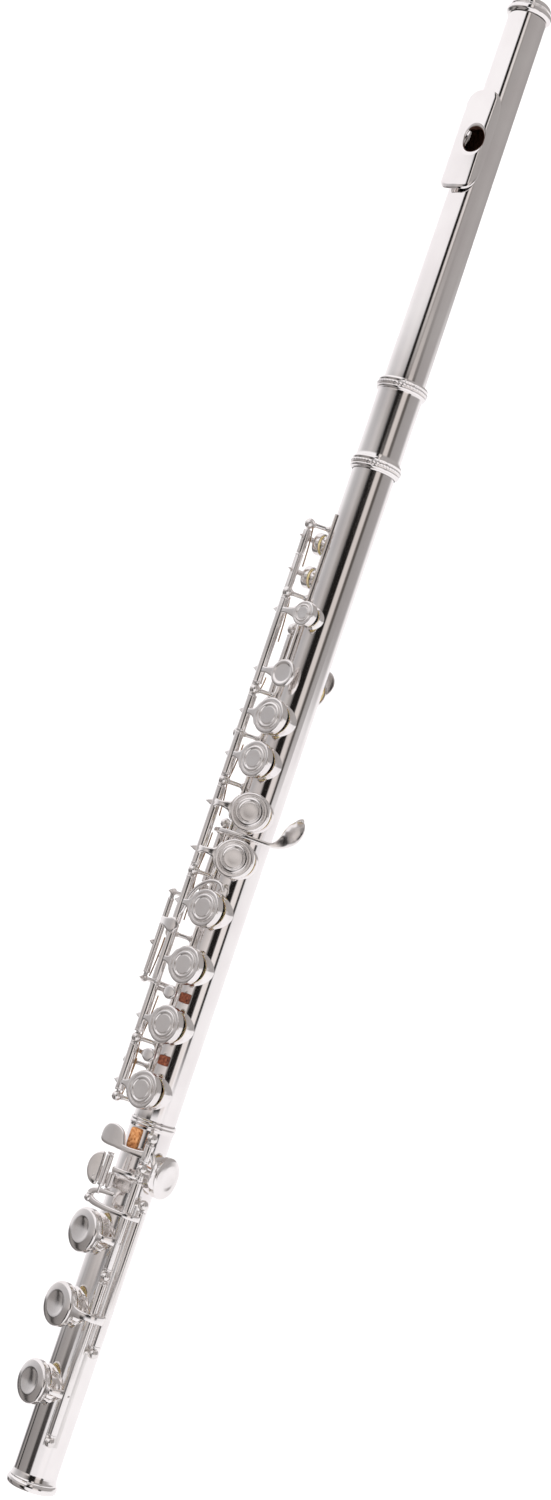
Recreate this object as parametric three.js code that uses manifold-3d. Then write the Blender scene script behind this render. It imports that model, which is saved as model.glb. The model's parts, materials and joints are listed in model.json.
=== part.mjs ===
import * as THREE from 'three';
import { mergeVertices } from 'three/addons/utils/BufferGeometryUtils.js';
import Module from 'manifold-3d';

const wasm = await Module();
wasm.setup();

// A concert flute with a B foot, in millimetres. X runs along the bore from the crown to the
// foot, +Z is the side the main cups face, and the hinge rods are on the -Y side. A polar angle
// is measured around the bore from +Z towards +Y. Open keys are drawn closed, then lifted.

// ---------- driving dimensions ----------
const GAP = 0.3;
const TUBE_R = 9.95;
const BORE_R = 9.5;
const HEAD_R = 9.7;
const HEAD_TIP_R = 8.8;
const HEAD_WALL = 0.45;
const HEAD_START = 8.3;
const HEAD_END = 223.2;
const BARREL_START = 183;
const BARREL_END = 226.6;
const BODY_START = 223.8;
const FOOT_START = 536.6;
const TENON_END = 559.5;
const FOOT_END = 712.5;
const LIP_X = 71;
const LIP_HOLE = [12.3, 10.2];

const RIM_R = 12.2;
const PAD_BASE = 12.5;
const PAD_TOP = 14.9;
const CUP_BASE = 13.0;
const CUP_POCKET = 15.2;
const CUP_TOP = 16.9;
const LIFT_DEG = 9;

const ROD_R = 1.0;
const HINGE_HOLE = 1.33;
const HINGE_R = 2.15;
const HUB_R = 2.45;
const THUMB_HUB_R = 3.1;
const MAIN = { y: -15, z: 13.5 };
const TRILL = { y: -18.2, z: 9.0 };
const SIDE = { y: -22.3, z: 12.0 };
const THUMB = { y: -16.4, z: -4.4 };
const GSHARP = { y: -15.9, z: -1.4 };
const FOOT_A = { y: 10.6, z: 14.4 };
const FOOT_B = { y: 15.4, z: 11.2 };
const FOOT_R = 10.3;
const ROLLER_C = { y: -4.9, z: 17.6 };
const ROLLER_B = { y: -0.9, z: 17.6 };
const BORE = { y: 0, z: 0 };
const BEAD_R = 11.9;

const CUP_SEGS = 20;
const HOLE_SEGS = 16;
const TUBE_SEGS = 24;
const ROD_SEGS = 8;

// Tone holes of the body and the foot: place along the bore, polar angle, hole and cup radius.
const BODY_HOLES = {
  dsharp_trill: { x: 263, polar: -88, hole: 3.5, cup: 5.2 },
  d_trill: { x: 279, polar: -88, hole: 3.5, cup: 5.2 },
  csharp: { x: 298.6, polar: 0, hole: 3.9, cup: 5.9 },
  thumb: { x: 327, polar: -165, hole: 6.3, cup: 8.4 },
  bflat: { x: 347, polar: 0, hole: 6.4, cup: 8.5 },
  a: { x: 367.5, polar: 0, hole: 6.4, cup: 8.5 },
  g_upper: { x: 391, polar: 24, hole: 6.9, cup: 9.1 },
  g_lower: { x: 413, polar: 24, hole: 6.9, cup: 9.1 },
  gsharp: { x: 414, polar: -145, hole: 6.6, cup: 8.6 },
  fsharp: { x: 438, polar: 0, hole: 6.9, cup: 8.9 },
  f: { x: 465, polar: 0, hole: 6.9, cup: 8.9 },
  e: { x: 493, polar: 0, hole: 6.9, cup: 8.9 },
  d: { x: 524, polar: 0, hole: 6.9, cup: 8.9 },
};
const FOOT_HOLES = {
  foot_dsharp: { x: 559.4, polar: 90, hole: 7.6, cup: 9.8 },
  foot_csharp: { x: 592.5, polar: -29, hole: 8.0, cup: 10.35 },
  foot_c: { x: 627.6, polar: -29, hole: 8.0, cup: 10.35 },
  foot_b: { x: 664.5, polar: -29, hole: 8.0, cup: 10.35 },
};

const SILVER = { color: 0xd9d4cf, roughness: 0.16, metalness: 1 };
const STEEL = { color: 0xb9b6b3, roughness: 0.25, metalness: 1 };
const PAD = { color: 0xd9b56a, roughness: 0.6, metalness: 0 };
const CORK = { color: 0xa8663a, roughness: 0.9, metalness: 0 };

// ---------- solids ----------
function manifoldOf(positions, triangles) {
  return new wasm.Manifold(new wasm.Mesh({
    numProp: 3,
    vertProperties: new Float32Array(positions),
    triVerts: new Uint32Array(triangles),
  }));
}

function solid(geometry) {
  const bare = new THREE.BufferGeometry();
  bare.setAttribute('position', geometry.getAttribute('position').clone());
  if (geometry.index) bare.setIndex(geometry.index.clone());
  const merged = mergeVertices(bare, 1e-4);
  const index = merged.index.array;
  const faces = [];
  const flipped = [];
  for (let i = 0; i < index.length; i += 3) {
    const [a, b, c] = [index[i], index[i + 1], index[i + 2]];
    if (a === b || b === c || c === a) continue;
    faces.push(a, b, c);
    flipped.push(a, c, b);
  }
  const positions = merged.getAttribute('position').array;
  const body = manifoldOf(positions, faces);
  return body.volume() > 0 ? body : manifoldOf(positions, flipped);
}

function join(pieces) {
  return pieces.reduce((whole, piece) => whole.add(piece));
}

function rad(degrees) {
  return THREE.MathUtils.degToRad(degrees);
}

function outward(polar, radius) {
  return { y: radius * Math.sin(rad(polar)), z: radius * Math.cos(rad(polar)) };
}

function lathe(profile, segments) {
  const points = profile.map(([r, h]) => new THREE.Vector2(r, h));
  return new THREE.LatheGeometry(points, segments);
}

// Turned about a line parallel to the bore: profile of [radius, x].
function turned(profile, line = BORE, segments = ROD_SEGS) {
  const geometry = lathe(profile, segments);
  geometry.rotateZ(-Math.PI / 2);
  geometry.translate(0, line.y, line.z);
  return solid(geometry);
}

function rod(x0, x1, radius, line, segments = ROD_SEGS) {
  return turned([[0, x0], [radius, x0], [radius, x1], [0, x1]], line, segments);
}

function ring(x0, x1, inner, outer, line, segments = ROD_SEGS) {
  return turned([[inner, x0], [outer, x0], [outer, x1], [inner, x1], [inner, x0]], line, segments);
}

function ball(x, line, radius, segments = 8) {
  const geometry = new THREE.SphereGeometry(radius, segments, Math.round(segments / 2));
  geometry.rotateZ(-Math.PI / 2);
  geometry.translate(x, line.y, line.z);
  return solid(geometry);
}

// Turned about a line square to the bore: profile of [radius, height], at a polar angle.
function upright(x, polar, profile, segments = CUP_SEGS) {
  const geometry = lathe(profile, segments);
  geometry.rotateX(Math.PI / 2);
  geometry.rotateX(-rad(polar));
  geometry.translate(x, 0, 0);
  return solid(geometry);
}

function outlineOf(points) {
  return new THREE.Shape(points.map(([u, v]) => new THREE.Vector2(u, v)));
}

// A section in the (y, z) plane of a cup's own frame, run along the bore.
function section(points, x0, x1, polar = 0) {
  const geometry = new THREE.ExtrudeGeometry(outlineOf(points), { depth: x1 - x0, bevelEnabled: false });
  const basis = new THREE.Matrix4().makeBasis(
    new THREE.Vector3(0, 1, 0), new THREE.Vector3(0, 0, 1), new THREE.Vector3(1, 0, 0));
  geometry.applyMatrix4(basis);
  geometry.translate(x0, 0, 0);
  geometry.rotateX(-rad(polar));
  return solid(geometry);
}

// An outline in the (x, y) plane of a cup's own frame, run along its height.
function plan(points, z0, z1, polar = 0) {
  const geometry = new THREE.ExtrudeGeometry(outlineOf(points), { depth: z1 - z0, bevelEnabled: false });
  geometry.translate(0, 0, z0);
  geometry.rotateX(-rad(polar));
  return solid(geometry);
}

// A band of even thickness along a bent centre line in a section.
function bandPoints(path, thickness) {
  const sides = [[], []];
  path.forEach(([u, v], i) => {
    const before = path[Math.max(0, i - 1)];
    const after = path[Math.min(path.length - 1, i + 1)];
    const run = new THREE.Vector2(after[0] - before[0], after[1] - before[1]).normalize();
    sides[0].push([u - run.y * thickness / 2, v + run.x * thickness / 2]);
    sides[1].unshift([u + run.y * thickness / 2, v - run.x * thickness / 2]);
  });
  return [...sides[0], ...sides[1]];
}

function arc(radius, from, to, steps) {
  const points = [];
  for (let i = 0; i <= steps; i += 1) {
    const at = outward(from + (to - from) * i / steps, radius);
    points.push([at.y, at.z]);
  }
  return points;
}

function oval(x, y, halfX, halfY, steps = 18) {
  const points = [];
  for (let i = 0; i < steps; i += 1) {
    const turn = i / steps * Math.PI * 2;
    points.push([x + halfX * Math.cos(turn), y + halfY * Math.sin(turn)]);
  }
  return points;
}

// A line's place as seen in the frame of a cup at a polar angle.
function inFrame(line, polar) {
  const [s, c] = [Math.sin(rad(polar)), Math.cos(rad(polar))];
  return { y: line.y * c - line.z * s, z: line.y * s + line.z * c };
}

function turnAbout(body, line, degrees) {
  return body.translate([0, -line.y, -line.z]).rotate([degrees, 0, 0]).translate([0, line.y, line.z]);
}

// ---------- tubes ----------
function chimney({ x, polar, hole }) {
  const wall = hole + 0.6;
  return upright(x, polar, [[0, 6], [wall, 6], [wall, RIM_R], [0, RIM_R]], HOLE_SEGS);
}

function tubeWithHoles(outer, inner, holes) {
  const chimneys = holes.map(chimney);
  const cuts = holes.map(({ x, polar, hole }) =>
    upright(x, polar, [[0, 4], [hole, 4], [hole, RIM_R + 2], [0, RIM_R + 2]], HOLE_SEGS));
  return join([outer, ...chimneys]).subtract(inner).subtract(join(cuts));
}

function headTube() {
  const outer = turned([
    [0, HEAD_START], [HEAD_TIP_R, HEAD_START], [HEAD_TIP_R + 0.25, 90], [HEAD_R, 180], [HEAD_R, HEAD_END],
    [0, HEAD_END],
  ], BORE, TUBE_SEGS);
  const inner = turned([
    [0, HEAD_START - 1], [HEAD_TIP_R - HEAD_WALL, HEAD_START - 1], [HEAD_TIP_R + 0.25 - HEAD_WALL, 90],
    [HEAD_R - HEAD_WALL, 180], [HEAD_R - HEAD_WALL, HEAD_END + 1], [0, HEAD_END + 1],
  ], BORE, TUBE_SEGS);
  const riser = plan(oval(LIP_X, 0, LIP_HOLE[0] / 2 + 1.6, LIP_HOLE[1] / 2 + 1.6, 24), 6, 11.4);
  const hole = plan(oval(LIP_X, 0, LIP_HOLE[0] / 2, LIP_HOLE[1] / 2, 24), 4, 13);
  return outer.add(riser).subtract(inner).subtract(hole);
}

function lipPlate() {
  const seat = HEAD_TIP_R + 0.25 + GAP;
  const low = arc(seat, -62, 40, 14);
  const high = [...arc(seat + 2.6, -26, 26, 8)];
  const outline = [
    ...low, [outward(46, seat + 0.9).y, outward(46, seat + 0.9).z], ...high.reverse(),
    [-9.2, 9.2], [-11.6, 7.6], [-12.8, 5.0], [-12.3, 3.4], [-11.4, 3.2], [-10.6, 4.4],
  ];
  const slab = section(outline, LIP_X - 23.5, LIP_X + 23.5);
  const shape = section(
    [[-16, -2], [-16, 16], [16, 16], [16, -2]], LIP_X - 24, LIP_X + 24)
    .intersect(plan(oval(LIP_X, -1.5, 23.5, 12.6, 28), -2, 16));
  const opening = plan(oval(LIP_X, 0, LIP_HOLE[0] / 2 + 1.9, LIP_HOLE[1] / 2 + 1.9, 24), 4, 16);
  const mouth = plan(oval(LIP_X, 0, LIP_HOLE[0] / 2, LIP_HOLE[1] / 2, 24), 4, 16);
  const collar = plan(oval(LIP_X, 0, LIP_HOLE[0] / 2 + 2.4, LIP_HOLE[1] / 2 + 2.4, 24), 11.7, 12.2);
  const plate = slab.intersect(shape).subtract(opening.intersect(plan([
    [LIP_X - 20, -20], [LIP_X + 20, -20], [LIP_X + 20, 20], [LIP_X - 20, 20]], 4, 11.7)));
  return plate.add(collar).subtract(mouth);
}

function crown() {
  return turned([
    [0, 0], [4.5, 0], [7.4, 0.8], [9.2, 2.4], [9.5, 4.6], [10.5, 5.4], [10.5, 7.2], [9.6, 8.0],
    [8.05, 8.0], [8.05, 14.5], [2.2, 14.5], [2.2, 2.0], [0, 2.0],
  ], BORE, TUBE_SEGS);
}

function stopper() {
  const screw = rod(3.2, 54, 1.8, BORE);
  const plateA = rod(33.5, 35, 7.9, BORE, 20);
  const plateB = rod(53, 54.4, 7.9, BORE, 20);
  return join([screw, plateA, plateB]);
}

function stopperCork() {
  return ring(35.3, 52.7, 2.1, 8.05, BORE, 20);
}

function barrel() {
  return turned([
    [9.95, BARREL_START], [10.8, BARREL_START], [BEAD_R, BARREL_START + 1], [BEAD_R, BARREL_START + 4.6],
    [10.5, BARREL_START + 5.6], [10.3, 204], [10.5, BARREL_END - 6], [BEAD_R, BARREL_END - 5],
    [BEAD_R, BARREL_END - 1.2], [10.6, BARREL_END], [10.2, BARREL_END],
    [10.2, 223.5], [9.95, 223.5], [9.95, BARREL_START],
  ], BORE, TUBE_SEGS);
}

function bodyTube() {
  const outer = turned([
    [0, BODY_START], [TUBE_R, BODY_START], [TUBE_R, FOOT_START - GAP], [9.55, FOOT_START - GAP],
    [9.55, TENON_END], [0, TENON_END],
  ], BORE, TUBE_SEGS);
  const inner = turned([
    [0, BODY_START - 1], [BORE_R, BODY_START - 1], [BORE_R, FOOT_START - 6], [9.1, FOOT_START - 4],
    [9.1, TENON_END + 1], [0, TENON_END + 1],
  ], BORE, TUBE_SEGS);
  return tubeWithHoles(outer, inner, Object.values(BODY_HOLES));
}

function footTube() {
  const outer = turned([
    [0, FOOT_START], [10.6, FOOT_START], [10.85, FOOT_START + 0.8], [10.85, FOOT_START + 1.8],
    [10.6, FOOT_START + 2.2], [10.85, FOOT_START + 2.6], [10.85, FOOT_START + 3.4],
    [FOOT_R, FOOT_START + 4.2], [FOOT_R, FOOT_END - 6.6], [11.3, FOOT_END - 4.2], [BEAD_R, FOOT_END - 3.4],
    [BEAD_R, FOOT_END - 0.8], [10.8, FOOT_END], [0, FOOT_END],
  ], BORE, TUBE_SEGS);
  const inner = turned([
    [0, FOOT_START - 1], [9.85, FOOT_START - 1], [9.85, TENON_END + GAP], [BORE_R - 0.4, TENON_END + 0.8],
    [BORE_R, TENON_END + 4], [BORE_R, FOOT_END + 1], [0, FOOT_END + 1],
  ], BORE, TUBE_SEGS);
  return tubeWithHoles(outer, inner, Object.values(FOOT_HOLES));
}

// ---------- ribs and posts ----------
function rib(x0, x1, from, to, low = 10.2, high = 11.0) {
  const steps = Math.max(2, Math.round(Math.abs(to - from) / 9));
  return section([...arc(low, from, to, steps), ...arc(high, to, from, steps)], x0, x1);
}

function post(x, line, low, hole = HINGE_HOLE, hubR = HUB_R) {
  const polar = THREE.MathUtils.radToDeg(Math.atan2(line.y, line.z));
  const reach = Math.hypot(line.y, line.z);
  const profile = [[0, low], [1.7, low], [1.15, low + 2.4], [1.15, reach - 1], [0, reach - 1]];
  const stem = upright(x, polar, profile, 6);
  return stem.add(rod(x - 2.2, x + 2.2, hubR, line)).subtract(rod(x - 3, x + 3, hole, line));
}

function clearOf(body, holes, extra = 1.2) {
  return holes.reduce((left, { x, polar, hole }) => left.subtract(
    upright(x, polar, [[0, 5], [hole + extra, 5], [hole + extra, 13.4], [0, 13.4]], 20)), body);
}

// The side lever's posts bend round the outside of the trill line.
function sidePost(x) {
  const path = [[-10.6, 1.6], [-14.5, 1.0], [-18.6, 2.0], [-22.2, 5.6], [SIDE.y, SIDE.z - 1]];
  const stem = section(bandPoints(path, 1.8), x - 1.2, x + 1.2);
  return stem.add(rod(x - 2, x + 2, HUB_R, SIDE)).subtract(rod(x - 3, x + 3, HINGE_HOLE, SIDE));
}

function mainRib() {
  const base = clearOf(rib(249.5, 533.5, -42, -80), Object.values(BODY_HOLES));
  const posts = [
    ...[290, 336.5, 380, 423, 503, 531].map((x) => post(x, MAIN, 10.5)),
    ...[256.5, 514].map((x) => post(x, TRILL, 10.5)),
    ...[357, 453].map((x) => post(x, TRILL, 10.5, 2.2, 3.0)),
    ...[435.2, 476.6].map(sidePost),
  ];
  return join([base, ...posts]);
}

function thumbRib() {
  const base = clearOf(rib(299, 341, -96, -122), Object.values(BODY_HOLES));
  return join([base, ...[303, 338.5].map((x) => post(x, THUMB, 10.5, HINGE_HOLE, THUMB_HUB_R))]);
}

function gsharpRib() {
  const base = clearOf(rib(394, 433, -86, -106), Object.values(BODY_HOLES));
  return join([base, ...[397.5, 429].map((x) => post(x, GSHARP, 10.5))]);
}

function footRib() {
  const base = rib(541.8, 690, 26, 62, FOOT_R + 0.27, FOOT_R + 1.0);
  const posts = [
    ...[543.6, 557.6, 608.5, 686.6].map((x) => post(x, FOOT_A, 10.8)),
    ...[573, 643].map((x) => post(x, FOOT_B, 10.8)),
  ];
  return clearOf(join([base, ...posts]), Object.values(FOOT_HOLES));
}

// ---------- keys ----------
function cup({ x, polar, cup: r }) {
  const pocket = r - 0.45;
  return upright(x, polar, [
    [0, CUP_POCKET], [pocket, CUP_POCKET], [pocket, CUP_BASE], [r, CUP_BASE], [r, CUP_TOP - 1.1],
    [r - 0.6, CUP_TOP - 0.3], [r * 0.58, CUP_TOP], [r * 0.5, CUP_TOP - 0.35], [0, CUP_TOP - 0.35],
  ]);
}

function domedCup({ x, polar, cup: r }) {
  const pocket = r - 0.45;
  return upright(x, polar, [
    [0, CUP_POCKET], [pocket, CUP_POCKET], [pocket, CUP_BASE], [r, CUP_BASE], [r, CUP_TOP - 1.2],
    [r * 0.9, CUP_TOP - 0.3], [r * 0.6, CUP_TOP + 0.3], [0, CUP_TOP - 0.3],
  ]);
}

function pad({ x, polar, cup: r }) {
  const radius = r - 0.45 - GAP;
  return upright(x, polar, [[0, PAD_BASE], [radius, PAD_BASE], [radius, PAD_TOP], [0, PAD_TOP]], CUP_SEGS);
}

function tube(x0, x1, line, hole = HINGE_HOLE, outer = HINGE_R) {
  return ring(x0, x1, hole, outer, line);
}

// The arm flares like a petal from the hinge tube into the cup's side.
function arm({ x, polar, cup: r }, line, from = x, tip = 2.2) {
  const at = inFrame(line, polar);
  const side = Math.sign(at.y);
  const edge = side * (r - 0.2);
  const start = tip > 1 ? [[at.y + side * tip, at.z - 0.2]] : [];
  const waistX = (from + x) / 2;
  const waistY = (at.y + edge) / 2;
  const bend = [at.y * 0.6 + edge * 0.4, Math.max(at.z * 0.5 + 7.2, 14.3)];
  const path = [...start, [at.y, at.z], bend, [edge - side * 0.4, 14.4]];
  const profile = section(bandPoints(path, 1.7), x - 14, x + 14, polar);
  const flat = plan([
    [from - 0.5, at.y + side * tip], [from - 2.1, at.y + side * 0.8], [from - 2.1, at.y - side * 1.4],
    [waistX - 1.6, waistY], [x - r * 0.55, edge * 0.86], [x - r * 0.55, edge * 0.8],
    [x + r * 0.55, edge * 0.8], [x + r * 0.55, edge * 0.86], [waistX + 1.6, waistY],
    [from + 2.1, at.y - side * 1.4], [from + 2.1, at.y + side * 0.8], [from + 0.5, at.y + side * tip],
  ], -5, 26, polar);
  const pocket = r - 0.45;
  return profile.intersect(flat).subtract(
    upright(x, polar, [[0, 5], [pocket, 5], [pocket, CUP_POCKET], [0, CUP_POCKET]]));
}

function bored(body, line, radius = HINGE_HOLE) {
  return body.subtract(rod(200, 720, radius, line));
}

function lifted(body, line, degrees = LIFT_DEG) {
  return turnAbout(body, line, degrees);
}

function openKey(holes, line, x0, x1, extras = []) {
  const pieces = holes.flatMap((hole) => [cup(hole), arm(hole, line)]);
  return lifted(bored(join([tube(x0, x1, line), ...pieces, ...extras]), line), line);
}

function openPad(hole, line) {
  return lifted(pad(hole), line);
}

function csharpKey() {
  const hole = BODY_HOLES.csharp;
  const touch = { x: 327, polar: 0, cup: 6.6 };
  const button = upright(touch.x, 0, [
    [0, 14.6], [5.2, 14.6], [6.6, 15.4], [6.6, 16.3], [5.7, 16.9], [4.6, 16.6], [0, 16.5],
  ]);
  const skirt = upright(touch.x, 0, [[0, 13.2], [4.2, 13.2], [4.2, 15], [0, 15]], 20);
  return openKey([hole], MAIN, 292.8, 333.7, [button, skirt, arm(touch, MAIN)]);
}

function fsharpKey() {
  const hole = BODY_HOLES.fsharp;
  const bow = [];
  for (let i = 0; i <= 9; i += 1) {
    const turn = rad(150 + i * 12);
    bow.push([hole.x + 11.3 * Math.cos(turn), 11.3 * Math.sin(turn)]);
  }
  const bridge = plan(bandPoints([...bow, [hole.x + 1, -14.6]], 1.7), 13.6, 15.0);
  const outline = [[hole.x - 11.8, 4.6], [hole.x - 11.2, 6.6], [hole.x - 7, 5.8], [hole.x - 7, 3.6]];
  const web = plan(outline, 13.6, 15.0);
  return openKey([hole], MAIN, 425.8, 448.3, [bridge, web.subtract(
    upright(hole.x, 0, [[0, 5], [hole.cup - 0.45, 5], [hole.cup - 0.45, CUP_POCKET], [0, CUP_POCKET]]))]);
}

function gKey() {
  return openKey([BODY_HOLES.g_upper, BODY_HOLES.g_lower], MAIN, 382.8, 420.2);
}

// The G sharp lever crosses over the tube between the two G cups to its teardrop touch.
function gsharpKey() {
  const hole = BODY_HOLES.gsharp;
  const reach = [[GSHARP.y, GSHARP.z], ...arc(16.1, -72, 40, 10), [15.6, 9.0], [19.5, 6.0]];
  const lever = section(bandPoints(reach, 2.0), 401, 403.1);
  const touchProfile = section(bandPoints(
    [[15.2, 9.0], [18.4, 6.7], [22.0, 4.6], [26.0, 4.0], [29.5, 4.9]], 1.5), 382, 406);
  const touchPlan = plan([
    [403.1, 14.5], [401, 14.5], [397, 18.2], [390.5, 19.6], [386.2, 22.2], [385.6, 25.6], [388.6, 28.2],
    [394, 28.6], [399.6, 26.2], [403.1, 21.0],
  ], -6, 16);
  const drop = arm(hole, GSHARP, 414, 0.6);
  return bored(join([tube(400.4, 426.1, GSHARP), lever, touchProfile.intersect(touchPlan), cup(hole), drop]),
    GSHARP);
}

function thumbBKey() {
  const hole = BODY_HOLES.thumb;
  const paddle = plan(oval(321.6, -5.5, 6.4, 5.2, 20), 15.4, 17.2, hole.polar);
  const pieces = [tube(319.6, 335.7, THUMB), cup(hole), arm(hole, THUMB, 327, 1.0), paddle];
  return lifted(bored(join(pieces), THUMB), THUMB, -LIFT_DEG);
}

function thumbBflatLever() {
  const at = inFrame(THUMB, -165);
  const path = [[at.y, at.z], [(at.y + 6) / 2 - 1, 15.6], [6.5, 16.8], [-2, 17.4]];
  const profile = section(bandPoints(path, 1.6), 300, 330, -165);
  const flat = plan([
    [307, at.y + 2], [312, at.y + 2], [312.4, 8], [313.2, 3], [312.8, -1], [310, -3.4], [306.6, -1.6],
    [305.4, 3], [306.6, 8],
  ], 5, 26, -165);
  return lifted(bored(tube(305.8, 319.2, THUMB).add(profile.intersect(flat)), THUMB), THUMB, -LIFT_DEG);
}

function sideLever() {
  const path = [[SIDE.y, SIDE.z], [-20.6, 15.4], [-17.2, 18.2], [-12.6, 19.4], [-9.6, 19.1]];
  const profile = section(bandPoints(path, 1.7), 440, 462);
  const flat = plan([
    [446.6, SIDE.y - 1.2], [450.6, SIDE.y - 1.2], [450.8, -19.5], [453.2, -16.2], [453.6, -12.6], [451, -9.6],
    [447.6, -9.6], [445.4, -12.6], [445.6, -17],
  ], 5, 26);
  const foot = section(bandPoints([[SIDE.y, SIDE.z], [SIDE.y - 2.6, SIDE.z + 1.2]], 1.6), 458, 461);
  return bored(join([tube(438.1, 473.8, SIDE, HINGE_HOLE, 1.9), profile.intersect(flat), foot]), SIDE);
}

function trillArm(hole) {
  const half = 1.4;
  const at = inFrame(TRILL, hole.polar);
  const path = [[at.y + 2.2, at.z - 0.4], [at.y, at.z], [at.y - 2.2, at.z - 1.4], [3.6, 15.9], [0, 15.9]];
  return section(bandPoints(path, 1.6), hole.x - half, hole.x + half, hole.polar);
}

// A trill touch passes beneath the main rods and rises between two cups.
function trillTouch(x) {
  const path = [[TRILL.y, TRILL.z], [-14.6, 8.8], [-11.2, 11.6], [-8.2, 14.6], [-5.4, 16.6], [-1.6, 16.8]];
  const profile = section(bandPoints(path, 1.5), x - 6, x + 6);
  const flat = plan([
    [x - 1.2, TRILL.y - 1], [x + 1.2, TRILL.y - 1], [x + 1.2, -9], [x + 3.2, -6.6], [x + 3.3, -3.2],
    [x + 1.6, -0.8], [x - 1.6, -0.8], [x - 3.3, -3.2], [x - 3.2, -6.6], [x - 1.2, -9],
  ], 4, 24);
  return profile.intersect(flat);
}

function dTrillKey() {
  const hole = BODY_HOLES.d_trill;
  const body = join([ring(271, 482.5, 1.2, 1.85, TRILL), cup(hole), trillArm(hole), trillTouch(478.8)]);
  return body.subtract(rod(270, 484, 1.2, TRILL));
}

function dsharpTrillKey() {
  const hole = BODY_HOLES.dsharp_trill;
  return join([
    rod(254.5, 516, 0.9, TRILL), ring(259.5, 270.6, 0.5, 1.85, TRILL), ring(503, 511, 0.5, 1.85, TRILL),
    cup(hole), trillArm(hole), trillTouch(508.5),
  ]);
}

// ---------- foot keys ----------
function hollowed(body, hole) {
  const pocket = hole.cup - 0.45;
  return body.subtract(
    upright(hole.x, hole.polar, [[0, 5], [pocket, 5], [pocket, CUP_POCKET], [0, CUP_POCKET]]));
}

function footDsharpKey() {
  const hole = FOOT_HOLES.foot_dsharp;
  const path = [[FOOT_A.y, FOOT_A.z], [5, 15.8], [-1, 16.6], [-6, 16.4], [-12, 15.4], [-15.8, 14.3]];
  const profile = section(bandPoints(path, 1.6), 540, 558);
  const flat = plan([
    [548.4, FOOT_A.y + 1], [553.6, FOOT_A.y + 1], [553.4, 2], [553.2, -4], [552.8, -13.4], [551, -15.2],
    [546.6, -15.4], [543.4, -13.2], [542.4, -9.6], [543.2, -5], [545, -2.2], [549.4, -1.4], [550.2, 2],
  ], 4, 24);
  const pieces = [tube(546.4, 554.8, FOOT_A), domedCup(hole), arm(hole, FOOT_A, 550.6, 0.6)];
  return bored(join([...pieces, profile.intersect(flat)]), FOOT_A);
}

function footCsharpKey() {
  const hole = FOOT_HOLES.foot_csharp;
  const path = [
    [FOOT_A.y, FOOT_A.z], [7.6, 12.6], [3, 11.7], [-1.5, 11.7], [-6.9, 11.9], [-8.9, 14.0], [-11.4, 15.0],
    [-15.2, 14.2],
  ];
  const profile = section(bandPoints(path, 1.4), 554, 574);
  const flat = plan([
    [564.4, FOOT_A.y + 1], [570.4, FOOT_A.y + 1], [570.4, -5], [571.6, -8], [571.4, -12.4], [568.4, -14.8],
    [560.2, -14.8], [556.6, -12.2], [556.2, -8.4], [558.4, -7.4], [564.2, -7],
  ], 4, 24);
  const pieces = [tube(563.7, 605.6, FOOT_A), domedCup(hole), arm(hole, FOOT_A, hole.x, 0.6)];
  return lifted(bored(join([...pieces, profile.intersect(flat)]), FOOT_A), FOOT_A, -LIFT_DEG);
}

// The low C key's long arm passes over the other hinge tube and ends in a small ball.
function footCKey() {
  const hole = FOOT_HOLES.foot_c;
  const at = inFrame(FOOT_B, hole.polar);
  const cupPath = [[at.y, at.z], [20.7, 6], [19.7, 10.6], [15.6, 14.3], [hole.cup - 0.6, 14.5]];
  const cupArm = hollowed(section(bandPoints(cupPath, 1.6), hole.x - 2.4, hole.x + 2.4, hole.polar), hole);
  const path = [
    [FOOT_B.y, FOOT_B.z], [15.8, 15.2], [12.4, 19.0], [5, 19.6], [-3, 18.8], [-8, 16.8],
  ];
  const touch = section(bandPoints(path, 1.6), 576.2, 578.6);
  const end = ball(577.4, { y: -9, z: 16.2 }, 2.1);
  const pin = rod(555.4, 577, 0.7, ROLLER_C);
  const head = rod(554.9, 555.8, 1.5, ROLLER_C);
  const pieces = [tube(575.9, 640.1, FOOT_B), domedCup(hole), cupArm, touch, end, pin, head];
  return lifted(bored(join(pieces), FOOT_B), FOOT_B, -LIFT_DEG);
}

// The low B key is pinned to the steel rod that the C sharp key rides on.
function footBKey() {
  const hole = FOOT_HOLES.foot_b;
  const path = [[FOOT_A.y, FOOT_A.z], [8, 17.4], [2, 18.6], [ROLLER_B.y, 18.2]];
  const touch = section(bandPoints(path, 1.5), 560.4, 563.2);
  const pin = rod(562, 571.6, 0.7, ROLLER_B);
  const head = rod(571.2, 572.0, 1.5, ROLLER_B);
  const axle = rod(556.9, 688, ROD_R, FOOT_A);
  const sleeves = [ring(560.4, 563.3, 0.5, HINGE_R, FOOT_A), ring(611.4, 683.8, 0.5, HINGE_R, FOOT_A)];
  const pieces = [axle, ...sleeves, domedCup(hole), arm(hole, FOOT_A, hole.x, 0.6), touch, pin, head];
  return lifted(join(pieces), FOOT_A, -LIFT_DEG);
}

function roller(x0, x1, at, line) {
  return lifted(ring(x0, x1, 1.0, 1.65, at), line, -LIFT_DEG);
}

function mesh(name, body, look) {
  const data = body.getMesh();
  const geometry = new THREE.BufferGeometry();
  geometry.setAttribute('position', new THREE.BufferAttribute(new Float32Array(data.vertProperties), 3));
  geometry.setIndex(new THREE.BufferAttribute(new Uint32Array(data.triVerts), 1));
  geometry.computeVertexNormals();
  const result = new THREE.Mesh(geometry, new THREE.MeshStandardMaterial({ ...look }));
  result.name = name;
  return result;
}

const flute = new THREE.Group();
flute.name = 'flute';

function put(name, body, look = SILVER) {
  flute.add(mesh(name, body, look));
}

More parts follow.
